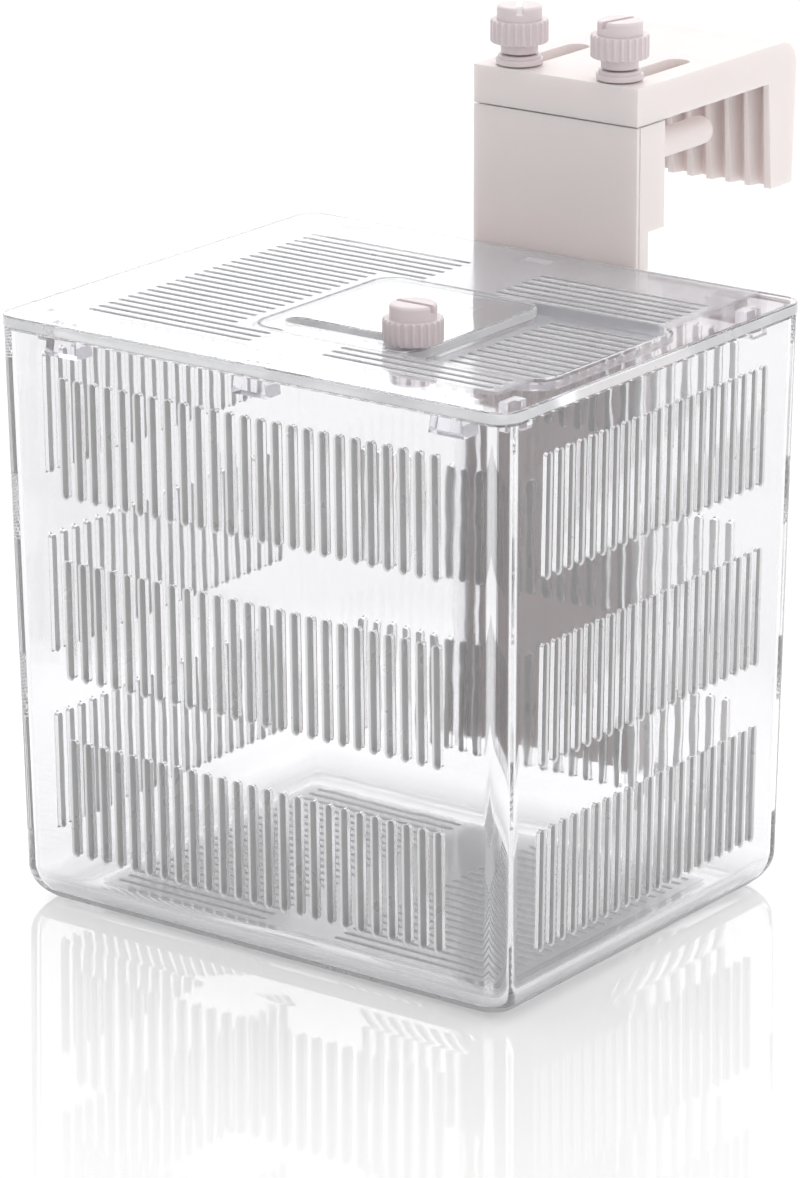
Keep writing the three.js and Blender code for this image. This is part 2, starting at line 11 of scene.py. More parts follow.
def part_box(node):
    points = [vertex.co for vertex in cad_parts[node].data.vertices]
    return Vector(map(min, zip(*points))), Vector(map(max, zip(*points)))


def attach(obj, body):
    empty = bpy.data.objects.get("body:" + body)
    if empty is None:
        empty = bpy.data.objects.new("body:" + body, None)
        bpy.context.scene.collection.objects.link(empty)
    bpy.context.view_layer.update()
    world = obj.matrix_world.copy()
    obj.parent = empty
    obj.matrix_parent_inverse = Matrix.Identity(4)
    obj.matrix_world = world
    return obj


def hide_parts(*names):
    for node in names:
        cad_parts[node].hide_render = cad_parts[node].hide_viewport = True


bl_info = {
    "name": "Fish breeding box",
    "version": (1, 0, 0),
    "blender": (4, 5, 0),
    "location": "View3D > Sidebar > Breeding box",
    "description": "Builds the looks of a clear slotted breeding box around its packed solids",
    "category": "Object",
}

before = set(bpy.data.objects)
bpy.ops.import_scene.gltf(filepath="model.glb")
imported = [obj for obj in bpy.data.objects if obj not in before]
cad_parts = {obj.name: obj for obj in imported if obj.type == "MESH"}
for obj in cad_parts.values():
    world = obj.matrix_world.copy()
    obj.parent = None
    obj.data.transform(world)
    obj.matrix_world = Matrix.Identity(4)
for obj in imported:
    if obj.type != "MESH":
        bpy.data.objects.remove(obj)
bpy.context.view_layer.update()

MM = 0.001
QUARTER = math.pi / 2
OVERRUN = 2 * MM  # how far a cutter runs past what it cuts
MOUTH_OVERRUN = 0.3 * MM  # the same for a cutter that widens at its mouth
JUST_ABOVE = 0.1 * MM  # margin by which faces are counted as lying on a level
SAME_PLACE = 0.002 * MM  # corners this near to each other become one
FLOOR_DROP = 0.02 * MM  # how far the studio's floor lies under the tank
ROUND_STEPS, GRIP_STEPS = 64, 96  # corners around the screws and rings, and around a grip
# How far up or down a face points, from 0 for an upright face to 1 for a level one
LEVEL, SLOPING, STEEP, UPRIGHT = 0.99, 0.5, 0.3, 0.1
UNTURNED = (0.0, 0.0, 0.0)
ALONG_X = (0.0, 0.0, QUARTER)  # lays a cutter that is drawn along Y
TO_THE_BACK = (-QUARTER, 0.0, 0.0)  # lays a body that is drawn upright
CUT_KIND = "cut_kind"  # marks the faces that a slot cutter leaves
CUT_SIDE, CUT_LIP = 1, 2


def length(name, description, millimetres):
    return FloatProperty(name=name, description=description, default=millimetres * MM, unit="LENGTH")


def angle(name, description, degrees):
    return FloatProperty(name=name, description=description, default=math.radians(degrees), unit="ROTATION")


def share(name, description, default):
    return FloatProperty(name=name, description=description, default=default, min=0.0, subtype="FACTOR")


def number(name, description, default):
    return FloatProperty(name=name, description=description, default=default)


def count(name, description, default):
    return IntProperty(name=name, description=description, default=default)


def colour(name, description, *default):
    return FloatVectorProperty(
        name=name, description=description, default=default, subtype="COLOR", size=3, min=0.0, max=1.0
    )


# Sizes and colours that a user would change


class TankSettings(bpy.types.PropertyGroup):
    draft: length("Draft", "How far each wall leans in from the rim to the underside", 1.7)
    wall: length("Wall", "Thickness of the walls", 2.4)
    floor: length("Floor", "Thickness of the floor", 2.6)
    corner: length("Corner radius", "Outer round between two walls", 4.5)
    foot: length("Foot radius", "Outer round between a wall and the underside", 7.0)
    # Faces between these two heights get a dark grey satin finish, which is painted shade along the foot.
    band_foot: length("Band foot", "Lower edge of the satin band low on the foot", 1.2)
    band_top: length("Band top", "Upper edge of that band", 3.1)
    slot_width: length("Slot width", "Width of the upright slots", 1.95)
    slot_length: length("Slot length", "Length of the upright slots", 24.4)
    front_pitch: length("Front pitch", "From slot to slot at the front and back", 3.63)
    front_count: count("Front slots", "Slots in a row at the front and back", 25)
    side_pitch: length("Side pitch", "From slot to slot in a side wall", 3.58)
    side_count: count("Side slots", "Slots in a row in a side wall", 21)
    row_pitch: length("Row pitch", "From one row of slots to the next", 36.5)
    row_count: count("Rows", "Rows of slots in each wall", 3)
    lowest_row: length("Lowest row", "Height of the middle of the lowest row", 24.1)
    floor_slot_end: length("Floor slot end", "From the floor's middle to its slots' ends", 45.0)
    floor_count: count("Floor rows", "Rows of slots in the floor", 23)
    slot_edge: length("Slot edge", "Softened edge around each slot inside", 0.08)
    slot_lip: length("Slot lip", "Sloping lip around each slot outside", 0.3)


class PlateSlotSettings(bpy.types.PropertyGroup):
    width: length("Width", "Width of the slots in the lid and in the floor", 1.3)
    pitch: length("Pitch", "From one row to the next", 2.93)
    bar: length("Middle bar", "Plain bar between the left and right slots", 16.6)
    edge: length("Edge", "Softened edge around each slot", 0.14)


class LidSettings(bpy.types.PropertyGroup):
    thickness: length("Thickness", "Thickness of the plate", 2.4)
    corner: length("Corner radius", "Round of the corners", 4.7)
    edge_round: length("Edge round", "Round of the edges", 0.45)
    slot_end: length("Slot end", "From the middle to the outer ends of the slots", 47.5)
    first_row: length("First row", "From the front edge to the first row", 13.7)
    rows: count("Rows", "Rows of slots", 25)
    pocket_left: length("Pocket left", "Left end of the pocket, from the middle", -16.2)
    pocket_right: length("Pocket right", "Right end of the pocket", 51.6)
    pocket_front: length("Pocket front", "Front edge of the pocket", -27.1)
    pocket_back: length("Pocket back", "Back edge of the pocket", 17.6)
    pocket_corner: length("Pocket corner", "Round of the pocket's corners", 5.0)
    pocket_mouth: length("Pocket mouth", "Softened edge of the pocket", 0.25)
    tray_floor: length("Tray floor", "Thickness of the floor under the pocket", 1.8)
    tray_wall: length("Tray wall", "How far the tray reaches past the pocket", 1.2)
    beside_pocket: length("Beside pocket", "Plain strip left of the pocket", 2.1)
    beside_door: length("Beside door", "Plain strip right of the closed door", 2.8)
    ledge: length("Ledge", "Ledge around the feeding opening", 2.6)
    opening_right: length("Opening right", "Right end of the feeding opening", 10.6)
    opening_corner: length("Opening corner", "Round of the opening's corners", 3.0)
    opening_mouth: length("Opening mouth", "Softened edge of the opening", 0.2)
    tab_top: length("Tab top", "Width of a tab at the plate", 6.2)
    tab_foot: length("Tab foot", "Width of a tab at its foot", 8.0)
    tab_height: length("Tab height", "Height of the front and back tabs", 4.4)
    tab_thickness: length("Tab thickness", "Thickness of the front and back tabs", 4.6)
    tab_x: length("Tab place", "From the middle to an outer tab's middle", 45.0)
    tab_outer: length("Tab outer face", "From the middle to the tabs' outer faces", 46.6)
    side_tab_outer: length("Side tab outer face", "From the middle to the side tabs' outer faces", 54.9)
    side_tab_thickness: length("Side tab thickness", "Thickness of the side tabs", 2.6)
    side_tab_length: length("Side tab length", "Length of the side tabs", 5.0)
    side_tab_height: length("Side tab height", "Height of the side tabs", 3.4)
    side_tab_y: length("Side tab place", "From the middle to a side tab's middle", 39.0)
    frost_depth: length("Frosting depth", "Depth of the frosted field", 90.0)
    frost_place: length("Frosting place", "From the middle back to the frosted field's middle", 7.5)


class DoorSettings(bpy.types.PropertyGroup):
    corner: length("Corner radius", "Round of the corners", 4.6)
    edge_round: length("Edge round", "Round of the edges", 0.4)
    slot_width: length("Slot width", "Width of the knob's slot", 4.7)
    slot_mouth: length("Slot mouth", "Softened edge of that slot", 0.25)
    slot_front: length("Slot place", "From the front edge to the slot's middle line", 7.2)
    slot_left: length("Slot left", "From the left edge to the slot's left round middle", 5.75)
    slot_right: length("Slot right", "From the right edge to the slot's right round middle", 4.55)


class ScrewSettings(bpy.types.PropertyGroup):
    cap: length("Cap diameter", "Diameter of the cap over the grip", 9.2)
    cap_height: length("Cap height", "Height of the cap", 2.8)
    cap_round: length("Cap round", "Round of the cap's upper edge", 0.6)
    cap_inset: length("Cap inset", "How far the cap's side stays inside its diameter", 0.1)
    slot_width: length("Slot width", "Width of the slot across the cap", 1.3)
    slot_depth: length("Slot depth", "Depth of the slot across the cap", 1.4)
    grip: length("Grip diameter", "Diameter over the flutes' lands", 11.6)
    grip_height: length("Grip height", "Height of the grip", 4.6)
    grip_round: length("Grip round", "Round of the grip's edges", 0.45)
    flutes: count("Flutes", "Flutes around the grip", 24)
    flute_radius: length("Flute radius", "Radius of the tool that cuts a flute", 0.55)
    flute_out: length("Flute place", "From the lands out to the middle of that tool", 0.1)
    neck: length("Neck diameter", "Diameter of the neck under the grip", 7.4)
    neck_edge: length("Neck edge", "Chamfer at the neck's foot", 0.2)
    neck_height: length("Neck height", "Height of the clamp screws' neck", 2.1)
    shank: length("Shank diameter", "Diameter of the shank", 4.0)
    shank_tip: length("Shank tip", "Chamfer at the shank's end", 0.5)
    bore: length("Bore diameter", "Diameter of the holes for the shanks", 4.6)
    tier: length("Collar tier", "Height of a collar's upper tier", 0.7)
    tier_step: length("Collar step", "How far that tier stands back", 0.5)
    ring_edge: length("Ring edge", "Softened edge of the collars and the nut", 0.15)
    nut_chamfer: length("Nut chamfer", "Chamfer at the nut's foot", 0.6)
    edge: length("Edge round", "Round of the screws' other edges", 0.12)
    left_turn: angle("Left turn", "Turn of the left clamp screw's slot", -54.0)
    right_turn: angle("Right turn", "Turn of the right clamp screw's slot", 77.0)


class HangerSettings(bpy.types.PropertyGroup):
    hook_edge: length("Hook edge", "Round of the hook's edges", 0.3)
    post_edge: length("Post edge", "Round of the post's edges", 0.18)
    plate: length("Post plate", "Thickness of the post behind the tank", 4.2)
    block: length("Block height", "Height of the block at the post's top", 21.4)
    groove_front: length("Groove place", "Front face before the fine groove in each side", 0.7)
    groove_width: length("Groove width", "Width of that groove", 0.5)
    groove_depth: length("Groove depth", "Depth of that groove", 0.4)
    bore_depth: length("Bore depth", "Depth of the post's holes for the clamp screws", 12.0)
    hook_plate: length("Hook plate", "Thickness of the hook's plate", 7.7)
    leg: length("Leg", "Thickness of the hook's leg under the plate", 10.35)
    leg_front_draft: length("Front draft", "How far the ribbed face leans in at its foot", 1.35)
    leg_back_draft: length("Back draft", "How far the leg's back leans in at its foot", 1.1)
    hook_corner: length("Hook corner", "Round between the plate's top and the leg's back", 5.5)
    rib_pitch: length("Rib pitch", "From one rib to the next", 4.65)
    rib_count: count("Ribs", "Ribs inside the leg", 9)
    groove_mouth: length("Rib groove mouth", "Width of a rib groove at the leg's foot", 3.2)
    groove_root: length("Rib groove root", "Width of a rib groove at its root", 1.8)
    groove_into: length("Rib groove depth", "Depth of a rib groove at the leg's foot", 2.5)
    clamp_x: length("Clamp place", "From the middle to a clamp screw", 12.0)
    clamp_slot: length("Clamp slot width", "Width of the hook's slots", 5.2)
    clamp_travel: length("Clamp slot length", "Between the middles of a slot's round ends", 20.0)
    peg: length("Peg diameter", "Diameter of the pegs", 5.8)
    peg_tip: length("Peg tip", "Length of a peg's rounded tip", 2.0)
    peg_below: length("Peg place", "From the post's top to a peg's middle", 7.5)
    peg_seat: length("Peg seat", "Diameter of the recess that holds a peg", 6.4)
    peg_seat_depth: length("Peg seat depth", "Depth of that recess", 1.8)


class FinishSettings(bpy.types.PropertyGroup):
    clear: colour("Clear plastic", "Tint of the tank and its rails", 0.925, 0.922, 0.934)
    clear_lid: colour("Clear lid", "Tint of the lid", 0.955, 0.948, 0.98)
    clear_floor: colour("Clear floor", "Tint of the tank's floor", 0.975, 0.975, 0.98)
    clear_door: colour("Clear door", "Tint of the feeding door", 0.955, 0.962, 0.968)
    cream: colour("Warm white", "Colour of the post and the hook", 0.85, 0.782, 0.77)
    rose: colour("Pale rose", "Colour of the screws", 0.72, 0.635, 0.652)
    cream_bleed: share("Warm white bleed", "How much light spreads inside the warm white plastic", 0.5)
    rose_bleed: share("Rose bleed", "How much light spreads inside the rose plastic", 0.2)
    bleed_depth: length("Bleed depth", "How far light spreads inside both", 3.0)
    clear_index: number("Refraction", "Index of refraction of the clear plastic", 1.49)
    clear_rough: share("Clear roughness", "Roughness of the clear plastic", 0.03)
    inner_rough: share("Inner roughness", "Roughness of the satin faces from inside the plastic", 0.15)
    frost_rough: share("Frosting roughness", "Roughness that the frosting adds", 0.12)
    frost_passes: share("Frosting lets through", "Light that the lid's frosting lets through", 0.7)
    floor_passes: share("Floor lets through", "Light that the floor's frosting lets through", 0.35)
    frost_past: length("Frosting past", "How far frosting reaches past the slots, and then fades", 1.5)
    # These faces are satin through their roughness and bumps. Their grey tints are painted shade on clear
    # plastic: in the walls' slots, on the slots' lips, in the lid's slots, on the band low on the foot and
    # on the lid's and door's edges. The floor slots' tint adds only faint painted shade.
    wall_slot: colour("Wall slots", "Tint inside the walls' slots", 0.62, 0.62, 0.62)
    slot_lip: colour("Slot lips", "Tint of the lips around the walls' slots", 0.8, 0.8, 0.8)
    plate_slot: colour("Lid slots", "Tint inside the lid's slots", 0.72, 0.72, 0.735)
    floor_slot: colour("Floor slots", "Tint inside the tank floor's slots", 0.97, 0.97, 0.975)
    foot_band: colour("Foot band", "Tint of the satin band low on the foot", 0.42, 0.42, 0.43)
    edge_shade: colour("Edge sides", "Tint of the lid's and the door's edges", 0.86, 0.865, 0.87)
    wall_passes: share("Wall slots let through", "Light that the tank's slots and band let through", 0.15)
    lip_passes: share("Slot lips let through", "Light that the slots' lips let through", 0.3)
    plate_passes: share("Plate slots let through", "Light that the other satin faces let through", 0.5)
    satin_rough: share("Satin roughness", "Roughness of the satin faces", 0.32)
    hanger_rough: share("Hanger roughness", "Roughness of the warm white plastic", 0.42)
    screw_rough: share("Screw roughness", "Roughness of the rose plastic", 0.36)


class StageSettings(bpy.types.PropertyGroup):
    azimuth: angle("Azimuth", "Turn of the camera to the right of the front", 36.37)
    elevation: angle("Elevation", "Height of the camera over the horizon", 18.05)
    roll: angle("Roll", "Turn of the picture", -0.15)
    distance: length("Distance", "From the camera to the middle of the tank", 1100.66)
    lens: number("Lens", "Focal length in millimetres", 173.07)
    shift_x: number("Shift X", "Sideways shift of the picture", -0.00184)
    shift_y: number("Shift Y", "Upward shift of the picture", 0.01194)
    floor_size: length("Floor size", "Width of the floor", 40000.0)
    floor: colour("Floor", "Colour of the floor", 0.78, 0.78, 0.78)
    floor_rough: share("Floor roughness", "Roughness of the floor", 0.03)
    floor_glow: number("Floor glow", "Light that the floor gives from below", 0.25)
    sky: number("Sky", "Brightness of the surroundings overhead", 1.05)
    horizon: number("Horizon", "Brightness of the surroundings at the sides", 1.0)
    dim_azimuth: angle("Dim direction", "Turn of the room's dim side to the right of the front", -50.0)
    dim_side: number("Dim side", "Brightness of the room's dim side", 0.5)
    panel: number("Panel", "Brightness added by the soft panel behind the box", 1.2)
    mirror: share("Mirror", "How strongly the floor mirrors the box at its foot", 0.45)
    mirror_run: length("Mirror run", "How far from the box the floor still mirrors it", 115.0)
    bounces: count("Light paths", "How often light may pass or meet a surface", 32)


SETTINGS = {
    "tank": TankSettings,
    "plate_slots": PlateSlotSettings,
    "lid": LidSettings,
    "door": DoorSettings,
    "screw": ScrewSettings,
    "hanger": HangerSettings,
    "finish": FinishSettings,
    "stage": StageSettings,
}


class BreedingBoxSettings(bpy.types.PropertyGroup):
    __annotations__ = {name: PointerProperty(type=group) for name, group in SETTINGS.items()}


def settings():
    return bpy.context.scene.breeding_box


# Outlines and closed bodies


def quarter(steps):
    """Sine and cosine of each step of a quarter turn."""
    turns = [step / steps * QUARTER for step in range(steps + 1)]
    return [(math.sin(turn), math.cos(turn)) for turn in turns]


def arc(x, y, radius, start, sweep, steps):
    turns = [start + step / steps * sweep for step in range(steps + 1)]
    return [(x + radius * math.cos(turn), y + radius * math.sin(turn)) for turn in turns]


def rounded_rectangle(left, right, low, high, radius, steps=10):
    """Points of a rectangle with rounded corners, anticlockwise."""
    corners = (
        (right - radius, low + radius, -QUARTER),
        (right - radius, high - radius, 0.0),
        (left + radius, high - radius, QUARTER),
        (left + radius, low + radius, math.pi),
    )
    return [point for x, y, start in corners for point in arc(x, y, radius, start, QUARTER, steps)]


def slot_outline(span, width, steps=8):
    """Points of a slot with round ends that lies along Y, anticlockwise. The span is its whole length."""
    radius = width / 2
    reach = span / 2 - radius
    return arc(0.0, reach, radius, 0.0, math.pi, steps) + arc(0.0, -reach, radius, math.pi, math.pi, steps)


def rounded_profile(radius, bottom, top, low_round, high_round, steps=5):
    """Profile of a round bar whose lower and upper edges are rounded."""
    points = [(radius - low_round * (1 - s), bottom + low_round * (1 - c)) for s, c in quarter(steps)]
    return points + [(radius - high_round * (1 - c), top - high_round * (1 - s)) for s, c in quarter(steps)]


def at_height(outline, z):
    return [(x, y, z) for x, y in outline]


def mesh_object(name, form):
    mesh = bpy.data.meshes.new(name)
    form.to_mesh(mesh)
    form.free()
    piece = bpy.data.objects.new(name, mesh)
    bpy.context.scene.collection.objects.link(piece)
    return piece


def loft(name, rings, ring_closed=False):
    """A closed body through rings of points. With ring_closed the last ring joins the first one."""
    form = bmesh.new()
    rows = [[form.verts.new(point) for point in ring] for ring in rings]
    points = len(rows[0])
    pairs = list(zip(rows, rows[1:]))
    if ring_closed:
        pairs.append((rows[-1], rows[0]))
    for low, high in pairs:
        for i in range(points):
            j = (i + 1) % points
            form.faces.new((low[i], low[j], high[j], high[i]))
    if not ring_closed:
        form.faces.new(list(reversed(rows[0])))
        form.faces.new(rows[-1])
    bmesh.ops.recalc_face_normals(form, faces=form.faces)
    return mesh_object(name, form)


def prism(name, outline, bottom, top):
    return loft(name, [at_height(outline, z) for z in (bottom, top)])


def cross_prism(name, outline, width):
    """A body of one width along X, from an outline drawn in Y and Z."""
    return loft(name, [[(x, y, z) for y, z in outline] for x in (-width / 2, width / 2)])


def block(name, low, high):
    outline = ((low[0], low[1]), (high[0], low[1]), (high[0], high[1]), (low[0], high[1]))
    return prism(name, outline, low[2], high[2])


def turned(name, profile, steps=48, ring_closed=False):
    """A round body about the Z axis, from (radius, height) points that follow each other upwards."""
    turns = [step / steps * math.tau for step in range(steps)]
    rings = [[(r * math.cos(t), r * math.sin(t), z) for t in turns] for r, z in profile]
    return loft(name, rings, ring_closed)


def rod(name, radius, bottom, top, steps=48):
    return turned(name, ((radius, bottom), (radius, top)), steps)


def rounded_plate(name, low, high, corner, edge, steps=4):
    """A plate with rounded corners, and rounded edges all round."""
    rings = []
    for grow, z in rounded_profile(0.0, low[2], high[2], edge, edge, steps):
        outline = rounded_rectangle(
            low[0] - grow, high[0] + grow, low[1] - grow, high[1] + grow, corner + grow
        )
        rings.append(at_height(outline, z))
    return loft(name, rings)


def slot_cutter(span, width, depth, edge, lip):
    """A cutter for one slot through a plate, with a lip at its upper face and a softened lower edge.

    The upper face is at height zero, and the span and the width are the slot's size there.
    """
    levels = (
        (lip - edge - MOUTH_OVERRUN, -depth - MOUTH_OVERRUN),
        (lip, edge - depth),
        (lip, -lip),
        (-MOUTH_OVERRUN, MOUTH_OVERRUN),
    )
    rings = [at_height(slot_outline(span - 2 * inset, width - 2 * inset), z) for inset, z in levels]
    cutter = loft("slot_cutter", rings)
    kinds = cutter.data.attributes.new(CUT_KIND, "INT", "FACE")
    for polygon in cutter.data.polygons:
        upright = abs(polygon.normal.z) < UPRIGHT
        kinds.data[polygon.index].value = CUT_SIDE if upright else CUT_LIP if polygon.center.z > -lip else 0
    return cutter


def flared_pocket(name, outline_at, floor_z, top_z, edge):
    """A cutter for a pocket or an opening, wider at its mouth. outline_at grows the outline by a size."""
    levels = ((0.0, floor_z), (0.0, top_z - edge), (edge + MOUTH_OVERRUN, top_z + MOUTH_OVERRUN))
    return loft(name, [at_height(outline_at(grow), z) for grow, z in levels])


# Geometry Nodes that repeat a cut, in rows or around a ring


def feed(tree, node, values):
    """Gives a node's inputs their values: a socket is linked, and anything else is set."""
    for key, value in values.items():
        if isinstance(value, bpy.types.NodeSocket):
            tree.links.new(value, node.inputs[key])
        else:
            node.inputs[key].default_value = value


def add_node(tree, kind, values=None, **options):
    node = tree.nodes.new(kind)
    for key, value in options.items():
        setattr(node, key, value)
    feed(tree, node, values or {})
    return node


def maths(tree, operation, *values):
    return add_node(tree, "ShaderNodeMath", dict(enumerate(values)), operation=operation).outputs["Value"]


def vector_maths(tree, operation, *values):
    node = add_node(tree, "ShaderNodeVectorMath", dict(enumerate(values)), operation=operation)
    return node.outputs["Value" if operation in ("LENGTH", "DOT_PRODUCT") else "Vector"]


def cut_tree(name, sizes, lay_out):
    """A tree that takes copies of a cutter, laid out by lay_out, away from the geometry."""
    tree = bpy.data.node_groups.new(name, "GeometryNodeTree")
    sockets = [(socket, "INPUT", kind) for socket, kind in (("Geometry", "Geometry"), *sizes)]
    for socket, side, kind in (*sockets, ("Geometry", "OUTPUT", "Geometry")):
        tree.interface.new_socket(socket, in_out=side, socket_type=f"NodeSocket{kind}")
    given = tree.nodes.new("NodeGroupInput").outputs
    cutter = add_node(tree, "GeometryNodeObjectInfo", {"Object": given["Cutter"]})
    copies = add_node(
        tree,
        "GeometryNodeInstanceOnPoints",
        {"Points": lay_out(tree, given), "Instance": cutter.outputs["Geometry"]},
    )
    placed = add_node(
        tree,
        "GeometryNodeTransform",
        {"Geometry": copies.outputs["Instances"], "Translation": given["Centre"], "Rotation": given["Turn"]},
    )
    real = add_node(tree, "GeometryNodeRealizeInstances", {"Geometry": placed.outputs["Geometry"]})
    cut = add_node(
        tree,
        "GeometryNodeMeshBoolean",
        {"Mesh 1": given["Geometry"], "Mesh 2": real.outputs["Geometry"]},
        operation="DIFFERENCE",
        solver="MANIFOLD",
    )
    finished = add_node(
        tree, "GeometryNodeSetMaterial", {"Geometry": cut.outputs["Mesh"], "Material": given["Material"]}
    )
    add_node(tree, "NodeGroupOutput", {"Geometry": finished.outputs["Geometry"]})
    return tree


def lay_in_rows(tree, given):
    """Points of a grid: the copies stand side by side in columns, and the rows are stacked."""

    def run_of(copies, pitch):
        return maths(tree, "MULTIPLY", maths(tree, "SUBTRACT", given[copies], 1.0), given[pitch])

    sizes = {
        "Size X": run_of("Columns", "Column pitch"),
        "Size Y": run_of("Rows", "Row pitch"),
        "Vertices X": given["Columns"],
        "Vertices Y": given["Rows"],
    }
    return add_node(tree, "GeometryNodeMeshGrid", sizes).outputs["Mesh"]


def lay_in_ring(tree, given):
    sizes = {"Vertices": given["Count"], "Radius": given["Radius"]}
    return add_node(tree, "GeometryNodeMeshCircle", sizes).outputs["Mesh"]


COMMON_SIZES = (("Cutter", "Object"), ("Centre", "Vector"), ("Turn", "Rotation"), ("Material", "Material"))
ROW_SIZES = (("Columns", "Int"), ("Rows", "Int"), ("Column pitch", "Float"), ("Row pitch", "Float"))
RING_SIZES = (("Count", "Int"), ("Radius", "Float"))


def repeat_cut(piece, tree_name, kinds, lay_out, values):
    """Adds one tree of cuts to a piece, with its inputs set by the sockets' identifiers."""
    tree = bpy.data.node_groups.get(tree_name) or cut_tree(tree_name, COMMON_SIZES + kinds, lay_out)
    modifier = piece.modifiers.new(tree_name, "NODES")
    modifier.node_group = tree
    for item in tree.interface.items_tree:
        if item.name in values:
            modifier[item.identifier] = values[item.name]
    values["Cutter"].hide_render = True


def cut_rows(piece, cutter, material, centre, turn, columns, pitch, rows=1, row_pitch=0.0):
    values = {"Cutter": cutter, "Centre": centre, "Turn": turn, "Material": material}
    values.update({"Columns": columns, "Column pitch": pitch, "Rows": rows, "Row pitch": row_pitch})
    repeat_cut(piece, "slot_rows", ROW_SIZES, lay_in_rows, values)


def cut_ring(piece, cutter, material, centre, copies, radius):
    values = {"Cutter": cutter, "Centre": centre, "Turn": UNTURNED, "Material": material}
    values.update({"Count": copies, "Radius": radius})
    repeat_cut(piece, "flutes_around_grip", RING_SIZES, lay_in_ring, values)


# Finishing a piece


def combine(piece, other, operation):
    modifier = piece.modifiers.new(operation.lower(), "BOOLEAN")
    modifier.operation = operation
    modifier.solver = "MANIFOLD"
    modifier.object = other


def soften(piece, width):
    modifier = piece.modifiers.new("soft edges", "BEVEL")
    modifier.width = width
    modifier.segments = 2
    modifier.limit_method = "ANGLE"
    modifier.angle_limit = math.radians(35)
    modifier.miter_outer = "MITER_ARC"


def shade_by_angle(mesh, limit):
    form = bmesh.new()
    form.from_mesh(mesh)
    bmesh.ops.remove_doubles(form, verts=form.verts, dist=SAME_PLACE)
    for face in form.faces:
        face.smooth = True
    for edge in form.edges:
        edge.smooth = len(edge.link_faces) == 2 and edge.calc_face_angle(math.pi) < limit
    form.to_mesh(mesh)
    form.free()


def baked(piece, material, helpers=(), smooth_below=32.0):
    """Turns a piece with its modifiers into a plain mesh, shades it and clears its helpers away."""
    modifier = piece.modifiers.new("even shading", "WEIGHTED_NORMAL")
    modifier.keep_sharp = True
    bpy.context.view_layer.update()
    scene_graph = bpy.context.evaluated_depsgraph_get()
    modifier.show_viewport = False
    scene_graph.update()
    rough = bpy.data.meshes.new_from_object(piece.evaluated_get(scene_graph))
    shade_by_angle(rough, math.radians(smooth_below))
    for old in list(piece.modifiers)[:-1]:
        piece.modifiers.remove(old)
    piece.data = rough
    modifier.show_viewport = True
    scene_graph = bpy.context.evaluated_depsgraph_get()
    scene_graph.update()
    final = bpy.data.meshes.new_from_object(piece.evaluated_get(scene_graph))
    piece.modifiers.clear()
    piece.data = final
    final.name = piece.name
    final.materials.clear()
    final.materials.append(material)
    for polygon in final.polygons:
        polygon.material_index = 0
    for helper in helpers:
        bpy.data.objects.remove(helper, do_unlink=True)


def finish_faces(piece, finish_name, chosen):
    """Gives a second finish to the faces that the chosen rule picks."""
    mesh = piece.data
    mesh.materials.append(material_named(finish_name))
    last = len(mesh.materials) - 1
    for polygon in mesh.polygons:
        if chosen(polygon):
            polygon.material_index = last


def cut_faces(piece, *wanted):
    """A rule that picks the faces of some kinds that a slot cutter left in a piece."""
    kinds = piece.data.attributes[CUT_KIND].data
    return lambda polygon: kinds[polygon.index].value in wanted


def put_on(piece, body, node):
    """Makes a piece stand for a solid and ride on its body."""
    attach(piece, body)
    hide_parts(node)


def moved(piece, place, turn=UNTURNED):
    """Puts a piece's place and turn into its mesh."""
    piece.data.transform(Matrix.Translation(place) @ Euler(turn).to_matrix().to_4x4())
    return piece


def middle_of(node):
    """The middle of a solid's box as seen from above, at height zero."""
    low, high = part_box(node)
    return Vector(((low.x + high.x) / 2, (low.y + high.y) / 2, 0.0))


# Materials

# Scales of the noise, in waves over a metre
POLISH_SCALE, WAVE_SCALE = 45.0, 55.0
FROST_SCALE = 120.0
SATIN_SCALE, SATIN_GRAIN = 160.0, 900.0
DRIFT_SCALE, SHINE_SCALE, MOULD_GRAIN = 30.0, 220.0, 2600.0

COARSE, FINE = 2.0, 4.0  # detail of the noise
NOISE_SPAN = (0.3, 0.7)  # the noise lies mostly between these values

# Height and strength of the bumps
WAVES = (0.1 * MM, 0.6)
SATIN_BUMPS, MOULD_BUMPS = (0.02 * MM, 0.4), (0.02 * MM, 0.35)

# Lowest and highest share of its roughness that a face has
POLISH_SPREAD, FROST_SPREAD = (0.4, 1.4), (0.85, 1.15)
SATIN_SPREAD, MOULD_SPREAD = (0.8, 1.2), (0.9, 1.15)

DARKER = 0.97  # share of its colour to which a moulded plastic drifts


def shader_for(name):
    material = bpy.data.materials.new(name)
    material.use_nodes = True
    tree = material.node_tree
    shader = tree.nodes["Principled BSDF"]
    place = tree.nodes.new("ShaderNodeTexCoord").outputs["Object"]
    return material, tree, shader, place


def noise_over(tree, place, scale, detail):
    values = {"Vector": place, "Scale": scale, "Detail": detail}
    return add_node(tree, "ShaderNodeTexNoise", values).outputs["Fac"]


def varied(tree, place, scale, low, high, detail=COARSE):
    """A number that drifts between two values over the surface."""
    start, end = NOISE_SPAN
    noise = noise_over(tree, place, scale, detail)
    limits = {"Value": noise, "From Min": start, "From Max": end, "To Min": low, "To Max": high}
    return add_node(tree, "ShaderNodeMapRange", limits).outputs["Result"]


def raised(tree, place, scale, distance, strength):
    """A bump from noise, in the surface's own metres."""
    noise = noise_over(tree, place, scale, COARSE)
    sizes = {"Height": noise, "Distance": distance, "Strength": strength}
    return add_node(tree, "ShaderNodeBump", sizes).outputs["Normal"]


def past_rectangle(tree, place, centre, half):
    """How far a place lies outside an upright rectangle, or zero within it."""
    outward = vector_maths(tree, "ABSOLUTE", vector_maths(tree, "SUBTRACT", place, centre))
    past = vector_maths(tree, "SUBTRACT", outward, half)
    return vector_maths(tree, "LENGTH", vector_maths(tree, "MAXIMUM", past, (0.0, 0.0, 0.0)))


